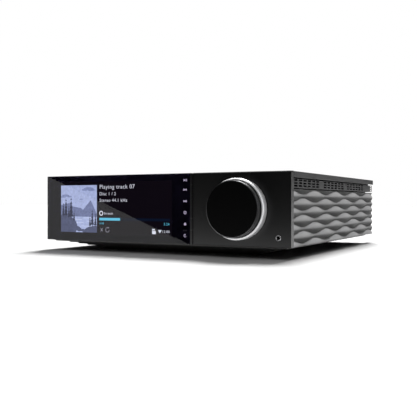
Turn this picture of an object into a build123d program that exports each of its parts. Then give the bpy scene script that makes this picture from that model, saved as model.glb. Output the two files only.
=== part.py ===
from build123d import *

import os
from math import atan2, ceil, cos, degrees, floor, pi

os.makedirs("parts", exist_ok=True)

# Streaming amplifier with a full-height display, a two-part dial and clip-on wave side panels.
# Millimetres. X runs to the right seen from the front, the front faces -Y, and Z is up.
# The origin is on the surface that it stands on, below the middle of the whole object.

# Overall sizes
width = 317.0
fascia_height = 77.0
base_height = 12.0
case_depth = 330.0
dial_reach = 18.0
terminal_reach = 4.0

half_width = width / 2
top_z = base_height + fascia_height
front_y = dial_reach - (dial_reach + case_depth + terminal_reach) / 2
cover_end_y = front_y + case_depth
rear_tip_y = cover_end_y + terminal_reach

# Fascia, glass and key groove
fascia_thickness = 7.0
glass_thickness = 3.0
glass_edge_gap = 0.15
glass_to_right_edge = 115.5
groove_width = 4.2
groove_depth = 3.8
fascia_chamfer = 0.8
fascia_back_y = front_y + fascia_thickness
glass_back_y = front_y + glass_thickness
glass_right_x = half_width - glass_to_right_edge
groove_right_x = glass_right_x + groove_width
groove_floor_y = front_y + groove_depth

# Display behind the glass
lcd_width = 164.0
lcd_height = 65.5
lcd_thickness = 5.5
lcd_from_left_edge = 18.0
lcd_centre_drop = 37.75
lcd_gap = 0.5
frame_thickness = 1.2
frame_margin = 7.0
frame_lip = 3.0
frame_boss_radius = 3.0
frame_boss_length = 4.0
board_thickness = 1.6
display_board_width = 120.0
display_board_height = 52.0
lcd_centre_x = -half_width + lcd_from_left_edge + lcd_width / 2
lcd_centre_z = top_z - lcd_centre_drop
lcd_back_y = glass_back_y + lcd_thickness
frame_back_y = lcd_back_y + frame_thickness
display_board_front_y = frame_back_y + frame_boss_length
display_board_back_y = display_board_front_y + board_thickness

# Six slim keys beside the glass, from the top down
key_names = ("play", "previous", "next", "info", "home", "power")
key_edge_drops = (0.3, 12.7, 24.1, 36.4, 48.75, 61.25)
key_stem_drops = (7.6, 17.9, 30.3, 42.6, 55.1, 67.6)
key_end_gap = 0.3
key_side_gap = 0.25
key_split = 0.3
key_width = 2.9
key_thickness = 3.0
key_stem_size = 2.0
key_stem_gap = 0.3
key_collar_size = 3.4
key_collar_thickness = 0.8
key_collar_gap = 0.2
key_stem_length = 7.8
key_to_switch_gap = 0.6
switch_size = 6.0
switch_depth = 3.0
key_edges_z = tuple(top_z - drop for drop in key_edge_drops) + (base_height + key_end_gap,)
key_stem_z = tuple(top_z - drop for drop in key_stem_drops)
key_left_x = glass_right_x + key_side_gap
key_stem_x = key_left_x + key_width / 2
key_back_y = front_y + key_thickness
key_stem_end_y = key_back_y + key_stem_length
switch_front_y = key_stem_end_y + key_to_switch_gap
key_board_front_y = switch_front_y + switch_depth
key_board_width = 19.5
key_board_overhang = 10.0
key_board_margin = 2.0
post_radius = 1.8
post_inset = 2.7
post_drops = (12.8, 48.8, 72.0)
key_board_right_x = glass_right_x + key_board_overhang
key_board_left_x = key_board_right_x - key_board_width
post_x = key_board_right_x - post_inset
post_z = tuple(top_z - drop for drop in post_drops)

# Light pipes behind the printed signs, with the remote-control window between the last two
pipe_from_glass_edge = 6.0
pipe_size = 4.6
pipe_gap = 0.1
remote_window_drop = 62.0
pipe_x = glass_right_x - pipe_from_glass_edge
pipe_z = key_stem_z + (top_z - remote_window_drop,)

# Dial: an outer source ring on a sleeve, and an inner volume knob on a shaft
dial_from_right_edge = 57.2
dial_drop = 38.5
ring_face = 2.1
ring_standoff = 1.0
ring_depth = 9.0
ring_rim_chamfer = 0.5
ring_dish = 1.2
ring_web_step = 0.5
ring_web_thickness = 2.5
ring_web_step_inset = 4.7
knob_radius = 29.3
knob_gap = 0.3
knob_undercut = 0.4
knob_shoulder_inset = 2.4
knob_shoulder_depth = 1.6
knob_wall = 2.5
knob_web_gap = 0.6
knob_hub_radius = 7.0
shaft_radius = 3.0
sleeve_wall = 2.94
running_gap = 0.06
bushing_wall = 2.84
bushing_hole_gap = 0.1
bushing_flange = 4.1
bushing_flange_thickness = 2.0
bushing_to_web_gap = 0.3
encoder_size = 34.0
encoder_depth = 12.0
sleeve_in_encoder = 2.0
shaft_in_encoder = 10.0
dial_board_size = 50.0
dial_x = half_width - dial_from_right_edge
dial_z = top_z - dial_drop
ring_radius = knob_radius + knob_gap + ring_face
ring_web_step_radius = ring_radius - ring_web_step_inset
ring_back_y = front_y - ring_standoff
ring_front_y = ring_back_y - ring_depth
web_back_y = ring_back_y - ring_web_step
web_front_y = web_back_y - ring_web_thickness
knob_front_y = front_y - dial_reach
knob_back_y = web_front_y - knob_web_gap
sleeve_radius = shaft_radius + running_gap + sleeve_wall
bushing_radius = sleeve_radius + running_gap + bushing_wall
bushing_flange_radius = bushing_radius + bushing_flange
bushing_back_y = fascia_back_y + bushing_flange_thickness
encoder_back_y = bushing_back_y + encoder_depth

# Headphone socket
jack_from_right_edge = 13.8
jack_from_bottom = 9.7
jack_nose_radius = 2.9
jack_nose_gap = 0.1
jack_proud = 0.3
jack_bore_radius = 1.8
jack_bore_depth = 15.3
jack_body_width = 9.0
jack_body_height = 12.0
jack_body_depth = 14.0
jack_board_height = 28.0
jack_board_width = 19.0
jack_board_side_gap = 0.5
jack_x = half_width - jack_from_right_edge
jack_z = base_height + jack_from_bottom
jack_back_y = fascia_back_y + jack_body_depth

# Small fixings and their holes are drawn with eight sides
small_sides = 8
screw_radius = 1.5
screw_gap = 0.1
screw_head_radius = 3.0
screw_head_height = 1.2
screw_head_recess = 0.4
screw_head_gap = 0.3

# Sheet-metal case
sheet = 1.5
cover_side_sheet = 1.2
cover_inset = 0.8
cover_side_height = 6.3
cover_front_gap = 3.0
cover_edge_radius = 0.6
cover_tab_width = 12.0
cover_tab_height = 7.5
cover_tab_x = (-132.0, -66.0, 66.0, 132.0)
floor_lip = 2.5
rear_bay_depth = 20.0
cover_outer_x = half_width - cover_inset
cover_inner_x = cover_outer_x - cover_side_sheet
cover_under_z = top_z - sheet
floor_top_z = base_height
floor_under_z = floor_top_z - sheet

# Side rails with the vent strip above the panel
rail_wall = 2.0
rail_recess = 5.0
rail_shelf_drop = 17.1
rail_end_setback = 3.0
rail_post_offsets = (0.0, 87.8, 181.6, 277.0)
rail_post_length = 6.0
rail_post_thickness = 1.5
rail_notch_depth = 0.7
strip_thickness = 0.8
strip_top_gap = 1.35
vent_rows = 3
vent_row_pitch = 2.85
vent_row_middle_drop = 11.8
vent_slot_length = 9.3
vent_slot_height = 1.7
vent_slot_pitch = 13.7
vent_slots_in_group = 6
vent_group_offsets = (6.6, 101.2, 194.2)
vent_end_slot_length = 7.6
vent_end_slot_height = 1.9
vent_end_slot_inset = 0.8
vent_end_bar = 0.95
rail_shelf_z = top_z - rail_shelf_drop
rail_end_y = cover_end_y - rail_end_setback
vent_first_z = top_z - vent_row_middle_drop - (vent_rows - 1) * vent_row_pitch / 2
vent_group_starts = tuple(fascia_back_y + offset for offset in vent_group_offsets)
vent_end_slot_start = rail_end_y - vent_end_slot_inset - vent_end_slot_length
strip_outer_x = cover_inner_x
strip_top_z = top_z - cover_side_height - strip_top_gap
strip_inner_x = strip_outer_x - strip_thickness
rail_outer_x = strip_outer_x - rail_recess
rail_inner_x = rail_outer_x - rail_wall

# Clip-on side panels: rows of ridges that swell and narrow in step, cut into an aluminium slab
panel_gap = 0.2
panel_valley_thickness = 3.9
panel_rows = 7
panel_top_gap = 1.2
panel_bottom_gap = 0.6
panel_front_gap = 0.5
panel_back_gap = 0.5
wave_period = 76.2
wave_first_bulge = 34.4
wave_top_rise = 1.5
wave_swing = 2.1
wave_slope = 0.43
wave_steps_per_period = 8
ridge_overlap = 0.5
peg_radius = 2.5
peg_gap = 0.3
peg_length = 4.5
peg_spacing = 240.0
magnet_size = 10.0
magnet_spacing = 120.0
strike_plate_thickness = 1.0
panel_inner_x = rail_outer_x + panel_gap
panel_top_z = rail_shelf_z - panel_top_gap
panel_bottom_z = base_height + panel_bottom_gap
wave_top_z = panel_top_z + wave_top_rise
panel_row_pitch = (wave_top_z - panel_bottom_z) / panel_rows
panel_valley_x = panel_inner_x + panel_valley_thickness
wave_first_bulge_y = fascia_back_y + wave_first_bulge
panel_front_y = fascia_back_y + panel_front_gap
panel_end_y = rail_end_y - panel_back_gap
panel_middle_y = (panel_front_y + panel_end_y) / 2
peg_y = (panel_middle_y - peg_spacing / 2, panel_middle_y + peg_spacing / 2)
peg_z = (panel_top_z + panel_bottom_z) / 2
magnet_y = (panel_middle_y - magnet_spacing / 2, panel_middle_y + magnet_spacing / 2)

# Terraced base tub and feet
plinth_front_gap = 10.0
plinth_rear_gap = 11.0
plinth_side_gap = 12.3
plinth_levels = 5
plinth_tread_x = 8.2
plinth_tread_y = 7.0
plinth_bottom_z = 1.0
plinth_wall = 1.5
plinth_tread_thickness = 1.0
plinth_flank_run = 1.0
foot_radius = 10.0
foot_pocket = 1.8
foot_inset = 18.4
foot_boss_radius = 5.0
foot_screw_tip = 1.5
rear_panel_y = cover_end_y - rear_bay_depth - sheet
rear_outer_y = rear_panel_y + sheet
plinth_front_y = fascia_back_y + plinth_front_gap
plinth_end_y = rear_outer_y - plinth_rear_gap
plinth_half_x = rail_outer_x - plinth_side_gap
plinth_half_y = (plinth_end_y - plinth_front_y) / 2
plinth_middle_y = (plinth_end_y + plinth_front_y) / 2
plinth_riser = (floor_under_z - plinth_bottom_z) / plinth_levels
plinth_flank_angle = degrees(atan2(plinth_flank_run, plinth_riser))
foot_x = plinth_half_x - (plinth_levels - 1) * plinth_tread_x - foot_inset
foot_y = plinth_half_y - (plinth_levels - 1) * plinth_tread_y - foot_inset
foot_places = [
    (x, plinth_middle_y + y) for x in (-foot_x, foot_x) for y in (-foot_y, foot_y)
]

# Rear panel's cut-outs and the ports that stand out of it
cutout_gap = 0.2
port_proud = 0.8

# Boards on the floor
standoff_height = 8.0
standoff_radius = 3.0
board_side_gap = 3.5
supply_board_width = 72.0
boards_gap = 8.0
boards_front_gap = 51.0
boards_rear_gap = 4.5
standoff_inset = 6.0
supply_board_left_x = -rail_inner_x + board_side_gap
supply_board_right_x = supply_board_left_x + supply_board_width
main_board_left_x = supply_board_right_x + boards_gap
main_board_right_x = rail_inner_x - board_side_gap
boards_front_y = fascia_back_y + boards_front_gap
boards_end_y = rear_panel_y - boards_rear_gap
board_under_z = floor_top_z + standoff_height
board_top_z = board_under_z + board_thickness

# Speaker terminals
terminal_x = (22.0, 3.0, -27.0, -46.0)
terminal_z = 44.0
terminal_plate_half = 9.5
terminal_plate_thickness = 3.0
terminal_block_half = 7.5
terminal_block_depth = 4.0
terminal_post_radius = 3.5
terminal_bore_radius = 2.0
terminal_bore_depth = 20.0
terminal_post_recess = 1.0
terminal_nut_radius = 6.0
terminal_nut_thickness = 4.0
cap_radius = 7.2
cap_plate_gap = 0.3
cap_sides = 12

# Line sockets, in three pairs
socket_x = (116.0, 90.0, 64.0)
socket_z = (70.0, 54.0)
socket_barrel_radius = 4.15
socket_bore_radius = 1.65
socket_bore_depth = 11.0
socket_reach = 9.5
socket_plate_half = 7.0
socket_plate_thickness = 0.6
socket_block_half = 6.0
socket_block_depth = 12.0

# Data ports on the main board
network_x = 126.0
network_size = (16.4, 14.0, 21.0)
network_mouth = (11.8, 8.4, 13.0)
usb_x = 102.0
usb_size = (14.4, 7.4, 14.0)
usb_mouth = (12.4, 4.8, 9.5)
hdmi_x = 78.0
hdmi_size = (16.2, 6.8, 11.5)
hdmi_mouth = (14.0, 4.6, 9.0)
optical_x = 56.0
optical_size = (13.4, 10.4, 13.0)
optical_mouth = (8.2, 8.2, 6.0)
tongue_thickness = 1.6
tongue_recess = 1.0

# Mains inlet and rocker switch
inlet_x = -112.0
inlet_z = 38.0
inlet_flange = (32.0, 25.0)
inlet_flange_thickness = 2.5
inlet_flange_corner = 3.0
inlet_body = (27.4, 20.0, 19.0)
inlet_recess = (24.4, 17.0, 17.0)
inlet_corner = 4.0
inlet_pin_x = (-7.0, 0.0, 7.0)
inlet_pin_z = (2.0, -2.0, 2.0)
inlet_pin_size = (2.0, 4.0)
inlet_pin_length = 11.0
rocker_x = inlet_x
rocker_z = 68.0
rocker_frame = (22.0, 16.0)
rocker_frame_thickness = 2.0
rocker_frame_corner = 1.5
rocker_body = (19.4, 13.0, 15.0)
rocker_cavity = (16.4, 10.4, 9.0)
rocker_width = 15.6
rocker_height = 9.4
rocker_end_reach = 2.4
rocker_middle_reach = 1.5
rocker_skirt = 1.2
rocker_hub_radius = 2.6
rocker_swing = 20.0
rocker_pin_radius = 1.2
rocker_pin_gap = 0.06


def across(y):
    """Sketch plane across the case at depth y. What is extruded from it runs forwards."""
    return Plane.XZ.offset(-y)


def along(x):
    """Sketch plane along the case at x. What is extruded from it runs to the right."""
    return Plane.YZ.offset(x)


def span(low, high, low_2, high_2, mode=Mode.ADD):
    """Rectangle between two pairs of edges in the sketch that is open."""
    with Locations(((low + high) / 2, (low_2 + high_2) / 2)):
        Rectangle(high - low, high_2 - low_2, mode=mode)


def save(builder, name):
    builder.part.label = name
    export_step(builder.part, f"parts/{name}.step")


# Fascia: machined aluminium plate with the pocket for the glass and the groove for the keys
with BuildPart() as front_fascia:
    with BuildSketch(across(fascia_back_y)):
        span(-half_width, half_width, base_height, top_z)
    extrude(amount=fascia_thickness)
    with BuildSketch(across(glass_back_y)):
        span(-half_width, glass_right_x, base_height, top_z)
    extrude(amount=glass_thickness, mode=Mode.SUBTRACT)
    with BuildSketch(across(groove_floor_y)):
        span(glass_right_x, groove_right_x, base_height, top_z)
    extrude(amount=groove_depth, mode=Mode.SUBTRACT)
    front_face = front_fascia.faces().sort_by(Axis.Y)[0]
    chamfer(front_face.edges().filter_by(Axis.X), length=fascia_chamfer)
    with BuildSketch(across(fascia_back_y)):
        with Locations((lcd_centre_x, lcd_centre_z)):
            Rectangle(lcd_width + 2 * lcd_gap, lcd_height + 2 * lcd_gap)
        with Locations((dial_x, dial_z)):
            Circle(bushing_radius + bushing_hole_gap)
        with Locations((jack_x, jack_z)):
            Circle(jack_nose_radius + jack_nose_gap)
        with Locations(*[(key_stem_x, z) for z in key_stem_z]):
            Rectangle(key_stem_size + 2 * key_stem_gap, key_stem_size + 2 * key_stem_gap)
        with Locations(*[(pipe_x, z) for z in pipe_z]):
            Rectangle(pipe_size + 2 * pipe_gap, pipe_size + 2 * pipe_gap)
    extrude(amount=fascia_thickness, mode=Mode.SUBTRACT)
    with BuildSketch(across(key_board_front_y)):
        with Locations(*[(post_x, z) for z in post_z]):
            RegularPolygon(post_radius, 6)
    extrude(amount=key_board_front_y - fascia_back_y)
save(front_fascia, "front_fascia")

# Display glass: one dark pane that covers the whole left part of the front
with BuildPart() as display_glass:
    with BuildSketch(across(glass_back_y)):
        span(
            -half_width + glass_edge_gap,
            glass_right_x,
            base_height + glass_edge_gap,
            top_z - glass_edge_gap,
        )
    extrude(amount=glass_thickness)
save(display_glass, "display_glass")

# Liquid-crystal panel, bonded to the back of the glass
with BuildPart() as lcd_module:
    with BuildSketch(across(lcd_back_y)):
        with Locations((lcd_centre_x, lcd_centre_z)):
            Rectangle(lcd_width, lcd_height)
    extrude(amount=lcd_thickness)
save(lcd_module, "lcd_module")

# Pressed frame that holds the panel against the glass, with four bosses for its board
with BuildPart() as display_frame:
    with BuildSketch(across(frame_back_y)):
        with Locations((lcd_centre_x, lcd_centre_z)):
            Rectangle(lcd_width + 2 * frame_margin, lcd_height + 2 * frame_lip)
    extrude(amount=frame_back_y - fascia_back_y)
    with BuildSketch(across(lcd_back_y)):
        with Locations((lcd_centre_x, lcd_centre_z)):
            Rectangle(lcd_width + 2 * lcd_gap, lcd_height + 2 * lcd_gap)
    extrude(amount=lcd_back_y - fascia_back_y, mode=Mode.SUBTRACT)
    with BuildSketch(across(frame_back_y)):
        with Locations((lcd_centre_x, lcd_centre_z)):
            Rectangle(lcd_width / 2, lcd_height / 2)
    extrude(amount=frame_thickness, mode=Mode.SUBTRACT)
    with BuildSketch(across(display_board_front_y)):
        with Locations((lcd_centre_x, lcd_centre_z)):
            with GridLocations(
                display_board_width - 4 * frame_boss_radius,
                display_board_height - 4 * frame_boss_radius,
                2,
                2,
            ):
                RegularPolygon(frame_boss_radius, 6)
    extrude(amount=frame_boss_length)
save(display_frame, "display_frame")

# Display board on the frame's bosses, with its main chip and the plug for the flat cable
chip_size = (14.0, 14.0)
chip_thickness = 1.2
ribbon_x = -40.0
ribbon_width = 20.0
ribbon_thickness = 0.4
ribbon_plug_height = 5.0
ribbon_plug_depth = 4.0
ribbon_plug_z = 36.0
with BuildPart() as display_board:
    with BuildSketch(across(display_board_back_y)):
        with Locations((lcd_centre_x, lcd_centre_z)):
            Rectangle(display_board_width, display_board_height)
    extrude(amount=board_thickness)
    with BuildSketch(across(display_board_back_y + chip_thickness)):
        with Locations((lcd_centre_x - display_board_width / 4, lcd_centre_z)):
            Rectangle(*chip_size)
    extrude(amount=chip_thickness)
    with BuildSketch(across(display_board_back_y + ribbon_plug_depth)):
        with Locations((ribbon_x, ribbon_plug_z)):
            Rectangle(ribbon_width + 2 * ribbon_thickness, ribbon_plug_height)
    extrude(amount=ribbon_plug_depth)
save(display_board, "display_board")

# Keys: a slim bar in the groove, a stem through the fascia and a stop collar behind it
for key, name in enumerate(key_names):
    with BuildPart() as key_bar:
        with BuildSketch(across(key_back_y)):
            span(
                key_left_x,
                key_left_x + key_width,
                key_edges_z[key + 1] + key_split / 2,
                key_edges_z[key] - key_split / 2,
            )
        extrude(amount=key_thickness)
        with BuildSketch(across(key_stem_end_y)):
            with Locations((key_stem_x, key_stem_z[key])):
                Rectangle(key_stem_size, key_stem_size)
        extrude(amount=key_stem_length)
        collar_back_y = fascia_back_y + key_collar_gap + key_collar_thickness
        with BuildSketch(across(collar_back_y)):
            with Locations((key_stem_x, key_stem_z[key])):
                Rectangle(key_collar_size, key_collar_size)
        extrude(amount=key_collar_thickness)
    save(key_bar, f"key_{name}")

# Key board on the fascia's posts
with BuildPart() as key_board:
    with BuildSketch(across(key_board_front_y + board_thickness)):
        span(
            key_board_left_x,
            key_board_right_x,
            base_height + key_board_margin,
            top_z - sheet - key_board_margin,
        )
    extrude(amount=board_thickness)
save(key_board, "key_board")

# Six push switches, one behind each key
with BuildPart() as key_switches:
    with BuildSketch(across(key_board_front_y)):
        with Locations(*[(key_stem_x, z) for z in key_stem_z]):
            Rectangle(switch_size, switch_size)
    extrude(amount=switch_depth)
save(key_switches, "key_switches")

# Clear pipes from the key board to the back of the glass
with BuildPart() as light_pipes:
    with BuildSketch(across(key_board_front_y)):
        with Locations(*[(pipe_x, z) for z in pipe_z]):
            Rectangle(pipe_size, pipe_size)
    extrude(amount=key_board_front_y - glass_back_y)
save(light_pipes, "light_pipes")

# Everything on the dial turns about one axis, and is drawn as a half section: radius, depth
dial_section = Plane((dial_x, 0, dial_z))
dial_axis = Axis((dial_x, 0, dial_z), (0, 1, 0))

# Bushing: a flange behind the fascia and a barrel through it
with BuildPart() as dial_bushing:
    with BuildSketch(dial_section):
        with BuildLine():
            Polyline(
                (sleeve_radius + running_gap, bushing_back_y),
                (sleeve_radius + running_gap, web_back_y + bushing_to_web_gap),
                (bushing_radius, web_back_y + bushing_to_web_gap),
                (bushing_radius, fascia_back_y),
                (bushing_flange_radius, fascia_back_y),
                (bushing_flange_radius, bushing_back_y),
                close=True,
            )
        make_face()
    revolve(axis=dial_axis)
save(dial_bushing, "dial_bushing")

# Source ring: bright rim, dished front and a web that carries it on the sleeve
with BuildPart() as source_ring:
    with BuildSketch(dial_section):
        with BuildLine():
            Polyline(
                (sleeve_radius, web_front_y),
                (knob_radius + knob_gap, web_front_y),
                (knob_radius + knob_gap, ring_front_y + ring_dish),
                (ring_radius - ring_rim_chamfer, ring_front_y),
                (ring_radius, ring_front_y + ring_rim_chamfer),
                (ring_radius, ring_back_y),
                (ring_web_step_radius, ring_back_y),
                (ring_web_step_radius, web_back_y),
                (sleeve_radius, web_back_y),
                close=True,
            )
        make_face()
    revolve(axis=dial_axis)
save(source_ring, "source_ring")

# Sleeve: carries the ring and reaches into the encoder
with BuildPart() as source_sleeve:
    with BuildSketch(across(bushing_back_y + sleeve_in_encoder)):
        with Locations((dial_x, dial_z)):
            Circle(sleeve_radius)
            Circle(shaft_radius + running_gap, mode=Mode.SUBTRACT)
    extrude(amount=bushing_back_y + sleeve_in_encoder - web_front_y)
save(source_sleeve, "source_sleeve")

# Shaft: runs in the sleeve, from the encoder to the knob
shaft_front_y = knob_front_y + knob_wall
with BuildPart() as volume_shaft:
    with BuildSketch(across(bushing_back_y + shaft_in_encoder)):
        with Locations((dial_x, dial_z)):
            Circle(shaft_radius)
    extrude(amount=bushing_back_y + shaft_in_encoder - shaft_front_y)
save(volume_shaft, "volume_shaft")

# Volume knob: a turned cup with a black face, a sloping shoulder and a hub on the shaft
with BuildPart() as volume_knob:
    with BuildSketch(dial_section):
        with BuildLine():
            Polyline(
                (0, knob_front_y),
                (knob_radius - knob_shoulder_inset, knob_front_y),
                (knob_radius, knob_front_y + knob_shoulder_depth),
                (knob_radius - knob_undercut, knob_back_y),
                (knob_radius - knob_undercut - knob_wall, knob_back_y),
                (knob_radius - knob_undercut - knob_wall, shaft_front_y),
                (knob_hub_radius, shaft_front_y),
                (knob_hub_radius, knob_back_y),
                (shaft_radius, knob_back_y),
                (shaft_radius, shaft_front_y),
                (0, shaft_front_y),
                close=True,
            )
        make_face()
    revolve(axis=dial_axis)
save(volume_knob, "volume_knob")

# Double encoder behind the fascia, with a bore for the sleeve and one for the shaft
encoder_end_gap = 0.3
with BuildPart() as dial_encoder:
    with BuildSketch(across(encoder_back_y)):
        with Locations((dial_x, dial_z)):
            Rectangle(encoder_size, encoder_size)
    extrude(amount=encoder_depth)
    with BuildSketch(across(bushing_back_y + sleeve_in_encoder + encoder_end_gap)):
        with Locations((dial_x, dial_z)):
            Circle(sleeve_radius + running_gap)
    extrude(amount=sleeve_in_encoder + encoder_end_gap, mode=Mode.SUBTRACT)
    with BuildSketch(across(bushing_back_y + shaft_in_encoder + encoder_end_gap)):
        with Locations((dial_x, dial_z)):
            Circle(shaft_radius + running_gap)
    extrude(amount=shaft_in_encoder + encoder_end_gap, mode=Mode.SUBTRACT)
save(dial_encoder, "dial_encoder")

with BuildPart() as dial_board:
    with BuildSketch(across(encoder_back_y + board_thickness)):
        with Locations((dial_x, dial_z)):
            Rectangle(dial_board_size, dial_board_size)
    extrude(amount=board_thickness)
save(dial_board, "dial_board")

# Headphone socket: a moulded body with a plated nose through the fascia
with BuildPart() as headphone_jack:
    with BuildSketch(across(jack_back_y)):
        with Locations((jack_x, jack_z)):
            Rectangle(jack_body_width, jack_body_height)
    extrude(amount=jack_body_depth)
    with BuildSketch(across(fascia_back_y)):
        with Locations((jack_x, jack_z)):
            Circle(jack_nose_radius)
    extrude(amount=fascia_thickness + jack_proud)
    with BuildSketch(across(front_y - jack_proud + jack_bore_depth)):
        with Locations((jack_x, jack_z)):
            Circle(jack_bore_radius)
    extrude(amount=jack_bore_depth, mode=Mode.SUBTRACT)
save(headphone_jack, "headphone_jack")

# Its board stands on the floor behind it
with BuildPart() as headphone_board:
    with BuildSketch(across(jack_back_y + board_thickness)):
        span(
            rail_inner_x - jack_board_side_gap - jack_board_width,
            rail_inner_x - jack_board_side_gap,
            floor_top_z,
            floor_top_z + jack_board_height,
        )
    extrude(amount=board_thickness)
save(headphone_board, "headphone_board")

# Top cover: folded sheet with shallow sides and four screw tabs over the rear panel
cover_front_y = fascia_back_y + cover_front_gap
cover_screw_places = [(x, cover_under_z - cover_tab_height / 2) for x in cover_tab_x]
with BuildPart() as top_cover:
    with BuildSketch(across(cover_end_y)):
        span(-cover_outer_x, cover_outer_x, top_z - cover_side_height, top_z)
        span(
            -cover_inner_x,
            cover_inner_x,
            top_z - cover_side_height,
            cover_under_z,
            mode=Mode.SUBTRACT,
        )
    extrude(amount=cover_end_y - cover_front_y)
    long_edges = top_cover.edges().filter_by(Axis.Y)
    top_corners = long_edges.group_by(Axis.Z)[-1]
    fillet(top_corners, radius=cover_edge_radius)
    with BuildSketch(across(rear_outer_y + cover_side_sheet)):
        for tab_x in cover_tab_x:
            span(
                tab_x - cover_tab_width / 2,
                tab_x + cover_tab_width / 2,
                cover_under_z - cover_tab_height,
                cover_under_z,
            )
    extrude(amount=cover_side_sheet)
    with BuildSketch(across(rear_outer_y + cover_side_sheet)):
        with Locations(*cover_screw_places):
            RegularPolygon(screw_radius + screw_gap, small_sides)
    extrude(amount=cover_side_sheet, mode=Mode.SUBTRACT)
save(top_cover, "top_cover")

# Right side rail: wall, shelf and vent strip in one section, posts under the cover, then pierced
with BuildPart() as side_rail_right:
    with BuildSketch(across(rail_end_y)):
        span(rail_inner_x, rail_outer_x, floor_top_z, rail_shelf_z + sheet)
        span(rail_inner_x, strip_outer_x, rail_shelf_z, rail_shelf_z + sheet)
        span(strip_inner_x, strip_outer_x, rail_shelf_z, strip_top_z)
    extrude(amount=rail_end_y - fascia_back_y)
    with BuildSketch(along(rail_outer_x)):
        for offset in rail_post_offsets:
            post_y = fascia_back_y + offset
            span(post_y, post_y + rail_post_length, rail_shelf_z, cover_under_z)
    extrude(amount=rail_post_thickness)
    with BuildSketch(along(strip_inner_x)):
        for row in range(vent_rows):
            slot_z = vent_first_z + row * vent_row_pitch
            low_z = slot_z - vent_slot_height / 2
            high_z = slot_z + vent_slot_height / 2
            for group_start in vent_group_starts:
                for slot in range(vent_slots_in_group):
                    start = group_start + slot * vent_slot_pitch
                    span(start, start + vent_slot_length, low_z, high_z)
            low_z = slot_z - vent_end_slot_height / 2
            high_z = slot_z + vent_end_slot_height / 2
            end_start = vent_end_slot_start
            span(end_start, end_start + vent_end_slot_length, low_z, high_z)
    extrude(amount=strip_thickness, mode=Mode.SUBTRACT)
    notch_top_z = vent_first_z - vent_end_slot_height / 2 - vent_end_bar
    with BuildSketch(along(rail_inner_x)):
        span(rear_outer_y, rail_end_y, panel_top_z - rail_notch_depth, notch_top_z)
    extrude(amount=strip_outer_x - rail_inner_x, mode=Mode.SUBTRACT)
    with BuildSketch(along(rail_inner_x)):
        with Locations(*[(y, peg_z) for y in peg_y]):
            RegularPolygon(peg_radius + peg_gap, small_sides)
        with Locations(*[(y, peg_z) for y in magnet_y]):
            Rectangle(magnet_size, magnet_size)
    extrude(amount=rail_wall, mode=Mode.SUBTRACT)
save(side_rail_right, "side_rail_right")

with BuildPart() as side_rail_left:
    mirror(side_rail_right.part, about=Plane.YZ)
save(side_rail_left, "side_rail_left")

# Magnets in the rail walls
with BuildPart() as panel_magnets:
    with BuildSketch(along(rail_inner_x)):
        with Locations(*[(y, peg_z) for y in magnet_y]):
            Rectangle(magnet_size, magnet_size)
    extrude(amount=rail_wall)
    mirror(about=Plane.YZ)
save(panel_magnets, "panel_magnets")


def ridge_half_height(row, y):
    """Half the height of one ridge at depth y. Neighbouring rows swell half a period apart."""
    side = -1 if row % 2 else 1
    swell = side * wave_swing * cos(2 * pi * (y - wave_first_bulge_y) / wave_period)
    return panel_row_pitch / 2 + swell


def ridge_point(row, y):
    """Crest of one ridge seen from above. A ridge stands out as far as it is tall."""
    return (panel_valley_x + wave_slope * ridge_half_height(row, y), y)


# Wave panel: the wavy crest of each ridge is one outline seen from above, drawn out at a
# slant above and below, so that neighbouring ridges meet in the valleys between them.
wave_step = wave_period / wave_steps_per_period
first_step = floor((panel_front_y - wave_first_bulge_y) / wave_step) - 1
last_step = ceil((panel_end_y - wave_first_bulge_y) / wave_step) + 1
crest_places = [wave_first_bulge_y + step * wave_step for step in range(first_step, last_step + 1)]
ridge_reach = panel_row_pitch / 2 + wave_swing + ridge_overlap
ridge_tallest = wave_slope * (panel_row_pitch / 2 + wave_swing)
with BuildPart() as side_panel_right:
    with BuildSketch(along(panel_inner_x)):
        span(panel_front_y, panel_end_y, panel_bottom_z, panel_top_z)
    extrude(amount=panel_valley_thickness / 2)
    for row in range(panel_rows + 1):
        for rise in (1, -1):
            if (row, rise) in ((0, 1), (panel_rows, -1)):
                continue
            with BuildSketch(Plane.XY.offset(wave_top_z - row * panel_row_pitch)):
                with BuildLine():
                    Polyline(
                        (panel_inner_x, crest_places[0]),
                        *[ridge_point(row, y) for y in crest_places],
                        (panel_inner_x, crest_places[-1]),
                        close=True,
                    )
                make_face()
            extrude(amount=ridge_reach, dir=(-wave_slope, 0, rise))
    with BuildSketch(along(panel_inner_x)):
        span(panel_front_y, panel_end_y, panel_bottom_z, panel_top_z)
    extrude(amount=panel_valley_thickness + ridge_tallest, mode=Mode.INTERSECT)
    with BuildSketch(along(panel_inner_x - peg_length)):
        with Locations(*[(y, peg_z) for y in peg_y]):
            RegularPolygon(peg_radius, small_sides)
    extrude(amount=peg_length)
    with BuildSketch(along(panel_inner_x)):
        with Locations(*[(y, peg_z) for y in magnet_y]):
            Rectangle(magnet_size, magnet_size)
    extrude(amount=strike_plate_thickness, mode=Mode.SUBTRACT)
save(side_panel_right, "side_panel_right")

with BuildPart() as side_panel_left:
    mirror(side_panel_right.part, about=Plane.YZ)
save(side_panel_left, "side_panel_left")

# Steel strike plates let into the back of each panel, over the magnets
with BuildPart() as strike_plates_right:
    with BuildSketch(along(panel_inner_x)):
        with Locations(*[(y, peg_z) for y in magnet_y]):
            Rectangle(magnet_size, magnet_size)
    extrude(amount=strike_plate_thickness)
save(strike_plates_right, "strike_plates_right")

with BuildPart() as strike_plates_left:
    mirror(strike_plates_right.part, about=Plane.YZ)
save(strike_plates_left, "strike_plates_left")

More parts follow.
